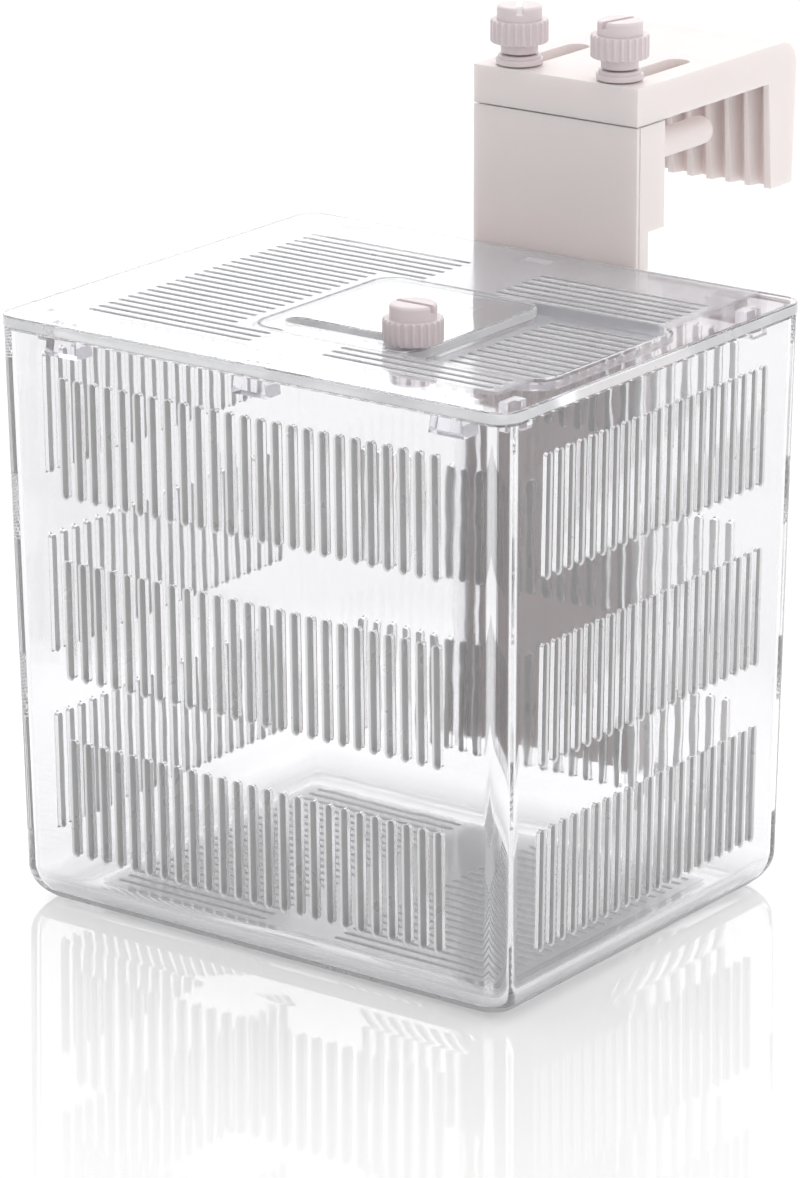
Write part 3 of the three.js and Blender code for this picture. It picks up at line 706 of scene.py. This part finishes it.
def eased(tree, value, start, end, low, high):
    """Goes smoothly from low to high while a value goes from start to end."""
    limits = {"Value": value, "From Min": start, "From Max": end, "To Min": low, "To Max": high}
    return add_node(tree, "ShaderNodeMapRange", limits, interpolation_type="SMOOTHSTEP").outputs["Result"]


def drifting(tree, place, scale, rough, spread, detail=COARSE):
    """A roughness that drifts between two shares of itself."""
    return varied(tree, place, scale, rough * spread[0], rough * spread[1], detail)


def polished(tree, place, rough):
    return drifting(tree, place, POLISH_SCALE, rough, POLISH_SPREAD)


def feed_clear(tree, shader, place, tint, rough, passes=1.0):
    """Makes a shader clear plastic, with the faint waves that a moulded wall has."""
    values = {
        "Base Color": (*tint, 1.0),
        "Transmission Weight": passes,
        "IOR": settings().finish.clear_index,
        "Roughness": rough,
        "Normal": raised(tree, place, WAVE_SCALE, *WAVES),
    }
    feed(tree, shader, values)


def clear_plastic(name, tint):
    material, tree, shader, place = shader_for(name)
    feed_clear(tree, shader, place, tint, polished(tree, place, settings().finish.clear_rough))
    return material


def frosted_plastic(name, tint, passes, place_y, half_x, half_y):
    """Clear plastic with a fine frosting on a slotted field, and polished around it."""
    finish = settings().finish
    material, tree, shader, place = shader_for(name)
    past = past_rectangle(tree, place, (0.0, place_y, 0.0), (half_x + finish.frost_past, half_y, 1.0))
    frosting = drifting(tree, place, FROST_SCALE, finish.frost_rough, FROST_SPREAD)
    within = eased(tree, past, 0.0, finish.frost_past, 1.0, 0.0)
    rough = maths(tree, "MULTIPLY_ADD", within, frosting, finish.clear_rough)
    clearing = eased(tree, past, 0.0, finish.frost_past, passes, 1.0)
    feed_clear(tree, shader, place, tint, rough, clearing)
    return material


def satin_clear(name, tint, passes):
    """A satin face of clear plastic: matt from the open side, and clearer as seen from inside the wall."""
    finish = settings().finish
    material, tree, shader, place = shader_for(name)
    # The tint is a grey base colour that paints shade on the face. The roughness and the bumps give the
    # satin.
    values = {
        "Base Color": (*tint, 1.0),
        "Transmission Weight": passes,
        "IOR": finish.clear_index,
        "Roughness": drifting(tree, place, SATIN_SCALE, finish.satin_rough, SATIN_SPREAD, FINE),
        "Normal": raised(tree, place, SATIN_GRAIN, *SATIN_BUMPS),
    }
    feed(tree, shader, values)
    inner = tree.nodes.new("ShaderNodeBsdfPrincipled")
    feed_clear(tree, inner, place, finish.clear, polished(tree, place, finish.inner_rough))
    side = tree.nodes.new("ShaderNodeNewGeometry").outputs["Backfacing"]
    faces = {0: side, 1: shader.outputs["BSDF"], 2: inner.outputs["BSDF"]}
    blend = add_node(tree, "ShaderNodeMixShader", faces)
    feed(tree, tree.nodes["Material Output"], {"Surface": blend.outputs["Shader"]})
    return material


def moulded_plastic(name, tint, rough, bleed):
    """Opaque moulded plastic with a soft shine, a fine grain and a slight drift of colour."""
    material, tree, shader, place = shader_for(name)
    darker = [DARKER * part for part in tint]
    shades = {"Factor": varied(tree, place, DRIFT_SCALE, 0.0, 1.0), "A": (*darker, 1.0), "B": (*tint, 1.0)}
    blend = add_node(tree, "ShaderNodeMix", shades, data_type="RGBA")
    values = {
        "Base Color": blend.outputs["Result"],
        "Roughness": drifting(tree, place, SHINE_SCALE, rough, MOULD_SPREAD, FINE),
        "Normal": raised(tree, place, MOULD_GRAIN, *MOULD_BUMPS),
        "Subsurface Weight": bleed,
        "Subsurface Radius": (1.0, 0.86, 0.8),
        "Subsurface Scale": settings().finish.bleed_depth,
        "IOR": 1.5,
    }
    feed(tree, shader, values)
    return material


def material_named(name):
    """One of the object's finishes, made on its first use."""
    if name in bpy.data.materials:
        return bpy.data.materials[name]
    box = settings()
    finish, lid, tank = box.finish, box.lid, box.tank
    lid_field = (lid.frost_place, lid.slot_end, lid.frost_depth / 2)
    floor_field = (0.0, tank.floor_slot_end, tank.floor_count / 2 * box.plate_slots.pitch)
    maker, *values = {
        "clear_plastic": (clear_plastic, finish.clear),
        "clear_door_plastic": (clear_plastic, finish.clear_door),
        "lid_plastic": (frosted_plastic, finish.clear_lid, finish.frost_passes, *lid_field),
        "floor_plastic": (frosted_plastic, finish.clear_floor, finish.floor_passes, *floor_field),
        # The grey tints of these satin finishes are painted shade: in the slots, on the lips, on the band
        # low on the foot and on the edges.
        "wall_slot": (satin_clear, finish.wall_slot, finish.wall_passes),
        "slot_lip": (satin_clear, finish.slot_lip, finish.lip_passes),
        "plate_slot": (satin_clear, finish.plate_slot, finish.plate_passes),
        "floor_slot": (satin_clear, finish.floor_slot, finish.wall_passes),
        "foot_band": (satin_clear, finish.foot_band, finish.wall_passes),
        "satin_edge": (satin_clear, finish.edge_shade, finish.plate_passes),
        "hanger_plastic": (moulded_plastic, finish.cream, finish.hanger_rough, finish.cream_bleed),
        "screw_plastic": (moulded_plastic, finish.rose, finish.screw_rough, finish.rose_bleed),
    }[name]
    return maker(name, *values)


# Pieces


def tank_shell(name, inset, underside, overrun, foot_steps=8):
    """The tank's drafted body, moved in by an inset and carried past the rim by an overrun."""
    tank = settings().tank
    low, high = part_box("tank")
    height = high.z - low.z

    def ring(z, drawn_in):
        lean = tank.draft * (1 - z / height)
        half_x = high.x - inset - lean - drawn_in
        half_y = high.y - inset - lean - drawn_in
        return at_height(rounded_rectangle(-half_x, half_x, -half_y, half_y, tank.corner - inset), z)

    radius = tank.foot - inset
    rings = [ring(underside + radius * (1 - c), radius * (1 - s)) for s, c in quarter(foot_steps)]
    return loft(name, [*rings, ring(height + overrun, 0.0)])


class BOX_OT_tank(bpy.types.Operator):
    """Build the clear tank with its slotted walls and floor"""

    bl_idname = "breeding_box.tank"
    bl_label = "Tank"

    def execute(self, context):
        tank, slots = settings().tank, settings().plate_slots
        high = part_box("tank")[1]
        material = material_named("clear_plastic")
        piece = tank_shell("tank_shell", 0.0, 0.0, 0.0)
        inside = tank_shell("tank_inside", tank.wall, tank.floor, OVERRUN)
        combine(piece, inside, "DIFFERENCE")
        upright = slot_cutter(tank.slot_length, tank.slot_width, tank.wall, tank.slot_edge, tank.slot_lip)
        middle = tank.lowest_row + (tank.row_count - 1) / 2 * tank.row_pitch
        lean = math.atan(tank.draft / high.z)
        drawn_in = tank.draft * (1 - middle / high.z)
        long_wall = (high.y, tank.front_count, tank.front_pitch)
        side_wall = (high.x, tank.side_count, tank.side_pitch)
        for step, wall in zip((0, 1, 2, -1), (long_wall, side_wall, long_wall, side_wall)):
            half, columns, pitch = wall
            turn = step * QUARTER
            centre = Matrix.Rotation(turn, 3, "Z") @ Vector((0, drawn_in - half, middle))
            stance = (QUARTER + lean, 0.0, turn)
            cut_rows(
                piece, upright, material, centre, stance, columns, pitch, tank.row_count, tank.row_pitch
            )
        inner = slots.bar / 2
        flat = slot_cutter(tank.floor_slot_end - inner, slots.width, tank.floor, slots.edge, slots.edge)
        for side in (-1, 1):
            centre = Vector((side * (tank.floor_slot_end + inner) / 2, 0, tank.floor))
            cut_rows(piece, flat, material, centre, ALONG_X, tank.floor_count, slots.pitch)
        baked(piece, material, (inside, upright, flat))
        sides, lips, cuts = (
            cut_faces(piece, *kinds) for kinds in ((CUT_SIDE,), (CUT_LIP,), (CUT_SIDE, CUT_LIP))
        )
        level = tank.floor + JUST_ABOVE

        def on_band(face):
            return tank.band_foot < face.center.z < tank.band_top and -LEVEL < face.normal.z < -STEEP

        def on_floor(face):
            return face.center.z < level and abs(face.normal.z) > LEVEL

        # The slots' sides and lips, and the band low on the foot, get grey satin finishes whose grey is
        # painted shade.
        finish_faces(piece, "wall_slot", lambda face: sides(face) and face.center.z > tank.foot)
        finish_faces(piece, "slot_lip", lambda face: lips(face) and face.center.z > tank.foot)
        finish_faces(piece, "foot_band", on_band)
        finish_faces(piece, "floor_plastic", on_floor)
        finish_faces(piece, "floor_slot", lambda face: cuts(face) and face.center.z < level)
        put_on(piece, "tank_body", "tank")
        return {"FINISHED"}


class BOX_OT_rails(bpy.types.Operator):
    """Give the rails behind the tank their clear finish"""

    bl_idname = "breeding_box.rails"
    bl_label = "Rails"

    def execute(self, context):
        for node in ("rail_left", "rail_right"):
            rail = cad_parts[node]
            rail.data.materials.clear()
            rail.data.materials.append(material_named("clear_plastic"))
        return {"FINISHED"}


def lid_slot_blocks(lid, slots, door_right, front):
    """The lid's rows of slots in blocks of like ones: {(left, right, which): [places in Y]}."""
    blocks = {}
    inner = slots.bar / 2
    for i in range(lid.rows):
        y = front + lid.first_row + i * slots.pitch
        passes = y + slots.width < lid.pocket_front or y - slots.width > lid.pocket_back
        inside = y - slots.width > lid.pocket_front and y + slots.width < lid.pocket_back
        which = "before" if y < lid.pocket_front else "behind" if y > lid.pocket_back else "beside"
        left_end = -inner if passes else lid.pocket_left - lid.beside_pocket
        blocks.setdefault((-lid.slot_end, left_end, which), []).append(y)
        if passes:
            blocks.setdefault((inner, lid.slot_end, which), []).append(y)
        if inside:
            blocks.setdefault((door_right + lid.beside_door, lid.slot_end, which), []).append(y)
    return blocks


def lid_tabs(lid, under):
    """The tabs that hold the lid inside the rim: three at the front and back, and two at each side."""
    tabs = []
    top, foot, into_plate = lid.tab_top / 2, lid.tab_foot / 2, lid.thickness / 2
    half = lid.side_tab_length / 2
    for side in (-1, 1):
        faces = sorted((side * (lid.tab_outer - lid.tab_thickness), side * lid.tab_outer))
        for x in (-lid.tab_x, 0.0, lid.tab_x):
            outline = [(x - foot, -lid.tab_height), (x + foot, -lid.tab_height)]
            outline += [(x + top, into_plate), (x - top, into_plate)]
            tabs.append(loft("tab", [[(px, y, under + pz) for px, pz in outline] for y in faces]))
        faces = sorted((side * (lid.side_tab_outer - lid.side_tab_thickness), side * lid.side_tab_outer))
        for y in (-lid.side_tab_y, lid.side_tab_y):
            low = (faces[0], y - half, under - lid.side_tab_height)
            tabs.append(block("side_tab", low, (faces[1], y + half, under + into_plate)))
    return tabs


class BOX_OT_lid(bpy.types.Operator):
    """Build the lid with its pocket, tray, tabs and rows of slots"""

    bl_idname = "breeding_box.lid"
    bl_label = "Lid"

    def execute(self, context):
        lid, slots = settings().lid, settings().plate_slots
        material = material_named("lid_plastic")
        low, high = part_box("lid")
        under = high.z - lid.thickness
        tray_bottom = under - lid.tray_floor

        def pocket_outline(grow):
            x = (lid.pocket_left - grow, lid.pocket_right + grow)
            y = (lid.pocket_front - grow, lid.pocket_back + grow)
            return rounded_rectangle(*x, *y, lid.pocket_corner + grow)

        def opening_outline(grow):
            inset = lid.ledge - grow
            x = (lid.pocket_left + inset, lid.opening_right + grow)
            y = (lid.pocket_front + inset, lid.pocket_back - inset)
            return rounded_rectangle(*x, *y, lid.opening_corner + grow)

        piece = rounded_plate("lid_plate", (low.x, low.y, under), high, lid.corner, lid.edge_round)
        tray_levels = (
            (lid.tray_wall - lid.edge_round, tray_bottom),
            (lid.tray_wall, tray_bottom + lid.edge_round),
            (lid.tray_wall, high.z - lid.thickness / 2),
        )
        helpers = [loft("tray", [at_height(pocket_outline(grow), z) for grow, z in tray_levels])]
        helpers += lid_tabs(lid, under)
        for helper in helpers:
            combine(piece, helper, "UNION")
        hole = rod("hole", settings().screw.bore / 2, tray_bottom - OVERRUN, under + OVERRUN)
        cuts = [
            flared_pocket("pocket", pocket_outline, under, high.z, lid.pocket_mouth),
            flared_pocket("opening", opening_outline, tray_bottom - OVERRUN, under, lid.opening_mouth),
            moved(hole, middle_of("lid_knob")),
        ]
        for cut in cuts:
            combine(piece, cut, "DIFFERENCE")
        helpers += cuts
        door_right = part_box("feeding_door")[1].x
        for (left, right, which), places in lid_slot_blocks(lid, slots, door_right, low.y).items():
            if right - left < 2 * slots.width:
                continue
            in_tray = left > lid.pocket_left and which == "beside"
            depth, top_z = (lid.tray_floor, under) if in_tray else (lid.thickness, high.z)
            cutter = slot_cutter(right - left, slots.width, depth, slots.edge, slots.edge)
            centre = Vector(((left + right) / 2, (places[0] + places[-1]) / 2, top_z))
            cut_rows(piece, cutter, material, centre, ALONG_X, len(places), slots.pitch)
            helpers.append(cutter)
        baked(piece, material, helpers)
        inner_x, inner_y = high.x - lid.corner / 2, high.y - lid.corner / 2

        def on_rim(face):
            place = face.center
            outside = abs(place.x) > inner_x or abs(place.y) > inner_y
            return abs(face.normal.z) < STEEP and place.z > under and outside

        # The lid's edges and its slots' sides get grey satin finishes whose grey is painted shade.
        finish_faces(piece, "satin_edge", on_rim)
        finish_faces(piece, "plate_slot", cut_faces(piece, CUT_SIDE, CUT_LIP))
        put_on(piece, "lid_body", "lid")
        return {"FINISHED"}


class BOX_OT_door(bpy.types.Operator):
    """Build the feeding door with the slot for its knob"""

    bl_idname = "breeding_box.door"
    bl_label = "Feeding door"

    def execute(self, context):
        door = settings().door
        low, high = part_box("feeding_door")
        piece = rounded_plate("door_plate", low, high, door.corner, door.edge_round)
        slot_left, slot_right = low.x + door.slot_left, high.x - door.slot_right
        span = slot_right - slot_left + door.slot_width
        cutter = slot_cutter(span, door.slot_width, high.z - low.z, door.slot_mouth, door.slot_mouth)
        moved(cutter, ((slot_left + slot_right) / 2, low.y + door.slot_front, high.z), ALONG_X)
        combine(piece, cutter, "DIFFERENCE")
        baked(piece, material_named("clear_door_plastic"), (cutter,))
        # The door's edges get a grey satin finish whose grey is painted shade.
        finish_faces(piece, "satin_edge", lambda face: abs(face.normal.z) < SLOPING)
        put_on(piece, "door_body", "feeding_door")
        return {"FINISHED"}


def fluted_screw(name, node, neck_height, turn):
    """A screw with a fluted grip and a slotted cap, in place of its solid."""
    screw = settings().screw
    material = material_named("screw_plastic")
    low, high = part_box(node)
    grip_top = high.z - screw.cap_height
    grip_bottom = grip_top - screw.grip_height
    grip_middle = grip_bottom + screw.grip_height / 2
    seat = grip_bottom - neck_height
    shank, neck, tip = screw.shank / 2, screw.neck / 2, screw.shank_tip
    lower = [(shank - tip, low.z), (shank, low.z + tip), (shank, seat)]
    lower += [(neck - screw.neck_edge, seat), (neck, seat + screw.neck_edge), (neck, grip_middle)]
    piece = turned(name, lower, ROUND_STEPS)
    edge = screw.grip_round
    grip_profile = rounded_profile(screw.grip / 2, grip_bottom, grip_top, edge, edge)
    grip = turned(f"{name}_grip", grip_profile, GRIP_STEPS)
    cap_radius = screw.cap / 2 - screw.cap_inset
    cap_profile = rounded_profile(cap_radius, grip_middle, high.z, 0.0, screw.cap_round)
    cap = turned(f"{name}_cap", cap_profile, ROUND_STEPS)
    flute = rod("flute_cutter", screw.flute_radius, -screw.grip_height, screw.grip_height, steps=16)
    centre = Vector((0, 0, (grip_bottom + grip_top) / 2))
    cut_ring(grip, flute, material, centre, screw.flutes, screw.grip / 2 + screw.flute_out)
    half = screw.slot_width / 2
    slot = block(
        "cap_slot", (-screw.grip, -half, high.z - screw.slot_depth), (screw.grip, half, high.z + OVERRUN)
    )
    combine(piece, grip, "UNION")
    combine(piece, cap, "UNION")
    combine(piece, slot, "DIFFERENCE")
    soften(piece, screw.edge)
    baked(piece, material, (grip, cap, flute, slot), smooth_below=40.0)
    return moved(piece, middle_of(node), (0.0, 0.0, turn))


class BOX_OT_screws(bpy.types.Operator):
    """Build the lid's knob and the two clamp screws"""

    bl_idname = "breeding_box.screws"
    bl_label = "Screws"

    def execute(self, context):
        screw = settings().screw
        for name, node, body, neck_height, turn in (
            ("knob_screw", "lid_knob", "lid_knob_body", 0.0, 0.0),
            ("left_screw", "clamp_screw_left", "clamp_left_body", screw.neck_height, screw.left_turn),
            ("right_screw", "clamp_screw_right", "clamp_right_body", screw.neck_height, screw.right_turn),
        ):
            put_on(fluted_screw(name, node, neck_height, turn), body, node)
        return {"FINISHED"}


def ring_around_shank(name, node, finish_name, outer):
    """A ring in place of its solid, from the (radius, height) points of its outer side, upwards."""
    low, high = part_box(node)
    bore = settings().screw.bore / 2
    piece = turned(name, [(bore, low.z), *outer, (bore, high.z)], ROUND_STEPS, ring_closed=True)
    baked(piece, material_named(finish_name))
    return moved(piece, middle_of(node))


class BOX_OT_collars(bpy.types.Operator):
    """Build the collars under the clamp screws and the nut under the lid"""

    bl_idname = "breeding_box.collars"
    bl_label = "Collars and nut"

    def execute(self, context):
        screw = settings().screw
        edge, chamfer = screw.ring_edge, screw.nut_chamfer
        for side in ("left", "right"):
            node = f"clamp_collar_{side}"
            low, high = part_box(node)
            radius = (high.x - low.x) / 2
            tier, upper = high.z - screw.tier, radius - screw.tier_step
            outer = [(radius - edge, low.z), (radius, low.z + edge), (radius, tier - edge)]
            outer += [(radius - edge, tier), (upper, tier), (upper, high.z - edge), (upper - edge, high.z)]
            piece = ring_around_shank(f"{side}_collar", node, "screw_plastic", outer)
            put_on(piece, f"clamp_{side}_body", node)
        low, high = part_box("lid_nut")
        radius = (high.x - low.x) / 2
        outer = [(radius - chamfer, low.z), (radius, low.z + chamfer)]
        outer += [(radius, high.z - edge), (radius - edge, high.z)]
        piece = ring_around_shank("knob_nut", "lid_nut", "clear_door_plastic", outer)
        put_on(piece, "lid_body", "lid_nut")
        return {"FINISHED"}


class BOX_OT_post(bpy.types.Operator):
    """Build the post with its block, its fine side grooves and its holes"""

    bl_idname = "breeding_box.post"
    bl_label = "Post"

    def execute(self, context):
        hanger = settings().hanger
        low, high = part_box("hanger_post")
        step = high.z - hanger.block
        back = low.y + hanger.plate
        outline = [(low.y, low.z), (back, low.z), (back, step), (high.y, step)]
        outline += [(high.y, high.z), (low.y, high.z)]
        piece = cross_prism("post_body_shell", outline, high.x - low.x)
        front = low.y + hanger.groove_front
        helpers = []
        for side in (-1, 1):
            x = side * hanger.clamp_x
            edges = sorted((side * (high.x - hanger.groove_depth), side * (high.x + OVERRUN)))
            far_end = (edges[1], front + hanger.groove_width, high.z + OVERRUN)
            helpers.append(block("groove", (edges[0], front, low.z - OVERRUN), far_end))
            bore = rod("bore", settings().screw.bore / 2, high.z - hanger.bore_depth, high.z + OVERRUN, 32)
            helpers.append(moved(bore, (x, (low.y + high.y) / 2, 0)))
            seat = rod("peg_seat", hanger.peg_seat / 2, -hanger.peg_seat_depth, OVERRUN)
            helpers.append(moved(seat, (x, high.y, high.z - hanger.peg_below), TO_THE_BACK))
        for helper in helpers:
            combine(piece, helper, "DIFFERENCE")
        soften(piece, hanger.post_edge)
        baked(piece, material_named("hanger_plastic"), helpers)
        put_on(piece, "post_body", "hanger_post")
        return {"FINISHED"}


class BOX_OT_hook(bpy.types.Operator):
    """Build the hook with its clamp slots and the ribs inside its leg"""

    bl_idname = "breeding_box.hook"
    bl_label = "Hook"

    def execute(self, context):
        hanger = settings().hanger
        material = material_named("hanger_plastic")
        low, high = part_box("hanger_hook")
        under = high.z - hanger.hook_plate
        leg_top = high.y - hanger.leg
        leg_foot = leg_top + hanger.leg_front_draft
        radius = hanger.hook_corner
        outline = [(low.y, under), (leg_top, under), (leg_foot, low.z)]
        outline.append((high.y - hanger.leg_back_draft, low.z))
        outline += arc(high.y - radius, high.z - radius, radius, 0.0, QUARTER, 10)
        outline.append((low.y, high.z))
        piece = cross_prism("hook_shell", outline, high.x - low.x)
        flare = (hanger.groove_mouth - hanger.groove_root) / 2
        outer, root, depth = hanger.groove_mouth / 2 + flare, hanger.groove_root / 2, hanger.groove_into
        section = ((-outer, -depth), (outer, -depth), (root, depth), (-root, depth))
        groove = prism("groove_cutter", section, low.z - OVERRUN, under)
        grooves = hanger.rib_count - 1
        cut_rows(piece, groove, material, Vector((0, leg_foot, 0)), UNTURNED, grooves, hanger.rib_pitch)
        section = slot_outline(hanger.clamp_travel + hanger.clamp_slot, hanger.clamp_slot, 14)
        slot = prism("clamp_slot", section, under - OVERRUN, high.z + OVERRUN)
        centre = Vector((0, middle_of("clamp_screw_left").y + hanger.clamp_travel / 2, 0))
        cut_rows(piece, slot, material, centre, UNTURNED, 2, 2 * hanger.clamp_x)
        soften(piece, hanger.hook_edge)
        baked(piece, material, (groove, slot))
        put_on(piece, "hook_body", "hanger_hook")
        return {"FINISHED"}


class BOX_OT_pegs(bpy.types.Operator):
    """Build the pegs with their rounded tips"""

    bl_idname = "breeding_box.pegs"
    bl_label = "Pegs"

    def execute(self, context):
        hanger = settings().hanger
        for side in ("left", "right"):
            node = f"peg_{side}"
            low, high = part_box(node)
            radius, run = hanger.peg / 2, high.y - low.y
            tip = [(radius * c, run - hanger.peg_tip * (1 - s)) for s, c in quarter(8)[:-1]]
            piece = turned(f"{side}_peg", [(radius, 0.0), *tip, (0.02 * radius, run)])
            baked(piece, material_named("hanger_plastic"))
            moved(piece, ((low.x + high.x) / 2, low.y, (low.z + high.z) / 2), TO_THE_BACK)
            put_on(piece, "post_body", node)
        return {"FINISHED"}


# The studio

# Heights on the sky, and shares of facing a direction, between which its parts begin or end
SKY_RISE = (0.0, 0.5)
ROOM_SPREAD = (0.3, 0.9)
PANEL_SPREAD = (-0.85, -0.45)
PANEL_FOOT, PANEL_HEAD = (0.08, 0.2), (0.5, 0.75)

WHITE = (1.0, 1.0, 1.0, 1.0)


def floor_material(stage):
    """Pale glossy floor whose mirror image fades with the distance from the box."""
    material, tree, shader, place = shader_for("pale_floor")
    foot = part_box("tank")[1]
    away = past_rectangle(tree, place, (0.0, 0.0, 0.0), (foot.x, foot.y, 1.0))
    values = {
        "Base Color": (*stage.floor, 1.0),
        "Emission Color": WHITE,
        "Emission Strength": stage.floor_glow,
        "Roughness": stage.floor_rough,
        "Specular IOR Level": eased(tree, away, 0.0, stage.mirror_run, stage.mirror, 0.0),
    }
    feed(tree, shader, values)
    return material


def studio_sky(stage):
    """Surroundings that are bright all round but for one dim side, with a soft panel behind the box."""
    world = bpy.data.worlds.new("studio")
    bpy.context.scene.world = world
    world.use_nodes = True
    tree = world.node_tree
    place = tree.nodes.new("ShaderNodeTexCoord").outputs["Generated"]
    height = add_node(tree, "ShaderNodeSeparateXYZ", {"Vector": place}).outputs["Z"]

    def facing(azimuth):
        return vector_maths(tree, "DOT_PRODUCT", place, (math.sin(azimuth), -math.cos(azimuth), 0.0))

    overhead = eased(tree, height, *SKY_RISE, stage.horizon, stage.sky)
    room = eased(tree, facing(stage.dim_azimuth), *ROOM_SPREAD, 1.0, stage.dim_side)
    behind = eased(tree, facing(stage.azimuth), *PANEL_SPREAD, stage.panel, 0.0)
    panel_foot = eased(tree, height, *PANEL_FOOT, 0.0, 1.0)
    panel_head = eased(tree, height, *PANEL_HEAD, 1.0, 0.0)
    panel = maths(tree, "MULTIPLY", behind, maths(tree, "MULTIPLY", panel_foot, panel_head))
    strength = maths(tree, "ADD", maths(tree, "MULTIPLY", overhead, room), panel)
    feed(tree, tree.nodes["Background"], {"Color": WHITE, "Strength": strength})


class BOX_OT_stage(bpy.types.Operator):
    """Build the floor, the surroundings and the camera"""

    bl_idname = "breeding_box.stage"
    bl_label = "Stage"

    def execute(self, context):
        stage = settings().stage
        form = bmesh.new()
        bmesh.ops.create_grid(form, x_segments=1, y_segments=1, size=stage.floor_size / 2)
        floor = mesh_object("floor", form)
        floor.location.z = -FLOOR_DROP
        floor.data.materials.append(floor_material(stage))
        studio_sky(stage)
        lens = bpy.data.cameras.new("camera")
        lens.lens = stage.lens
        lens.shift_x, lens.shift_y = stage.shift_x, stage.shift_y
        camera = bpy.data.objects.new("camera", lens)
        context.scene.collection.objects.link(camera)
        flat = math.cos(stage.elevation)
        back = Vector(
            (math.sin(stage.azimuth) * flat, -math.cos(stage.azimuth) * flat, math.sin(stage.elevation))
        )
        camera.location = Vector((0, 0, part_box("lid")[1].z / 2)) + back * stage.distance
        aim = (-back).to_track_quat("-Z", "Y") @ Euler((0, 0, stage.roll)).to_quaternion()
        camera.rotation_euler = aim.to_euler()
        context.scene.camera = camera
        context.scene.view_settings.view_transform = "Standard"
        for kind in ("max_bounces", "glossy_bounces", "transmission_bounces"):
            setattr(context.scene.cycles, kind, stage.bounces)
        return {"FINISHED"}


OPERATORS = (
    BOX_OT_tank,
    BOX_OT_rails,
    BOX_OT_lid,
    BOX_OT_door,
    BOX_OT_screws,
    BOX_OT_collars,
    BOX_OT_post,
    BOX_OT_hook,
    BOX_OT_pegs,
    BOX_OT_stage,
)


class BOX_PT_panel(bpy.types.Panel):
    """Lists the pieces of the breeding box"""

    bl_label = "Breeding box"
    bl_idname = "BOX_PT_panel"
    bl_space_type = "VIEW_3D"
    bl_region_type = "UI"
    bl_category = "Breeding box"

    def draw(self, context):
        for operator in OPERATORS:
            self.layout.operator(operator.bl_idname)


CLASSES = (*SETTINGS.values(), BreedingBoxSettings, *OPERATORS, BOX_PT_panel)


def register():
    for item in CLASSES:
        bpy.utils.register_class(item)
    bpy.types.Scene.breeding_box = PointerProperty(type=BreedingBoxSettings)


def unregister():
    del bpy.types.Scene.breeding_box
    for item in reversed(CLASSES):
        bpy.utils.unregister_class(item)


def main():
    register()
    for operator in OPERATORS:
        group, name = operator.bl_idname.split(".")
        getattr(getattr(bpy.ops, group), name)()
    bpy.context.view_layer.update()


if __name__ == "__main__":
    main()
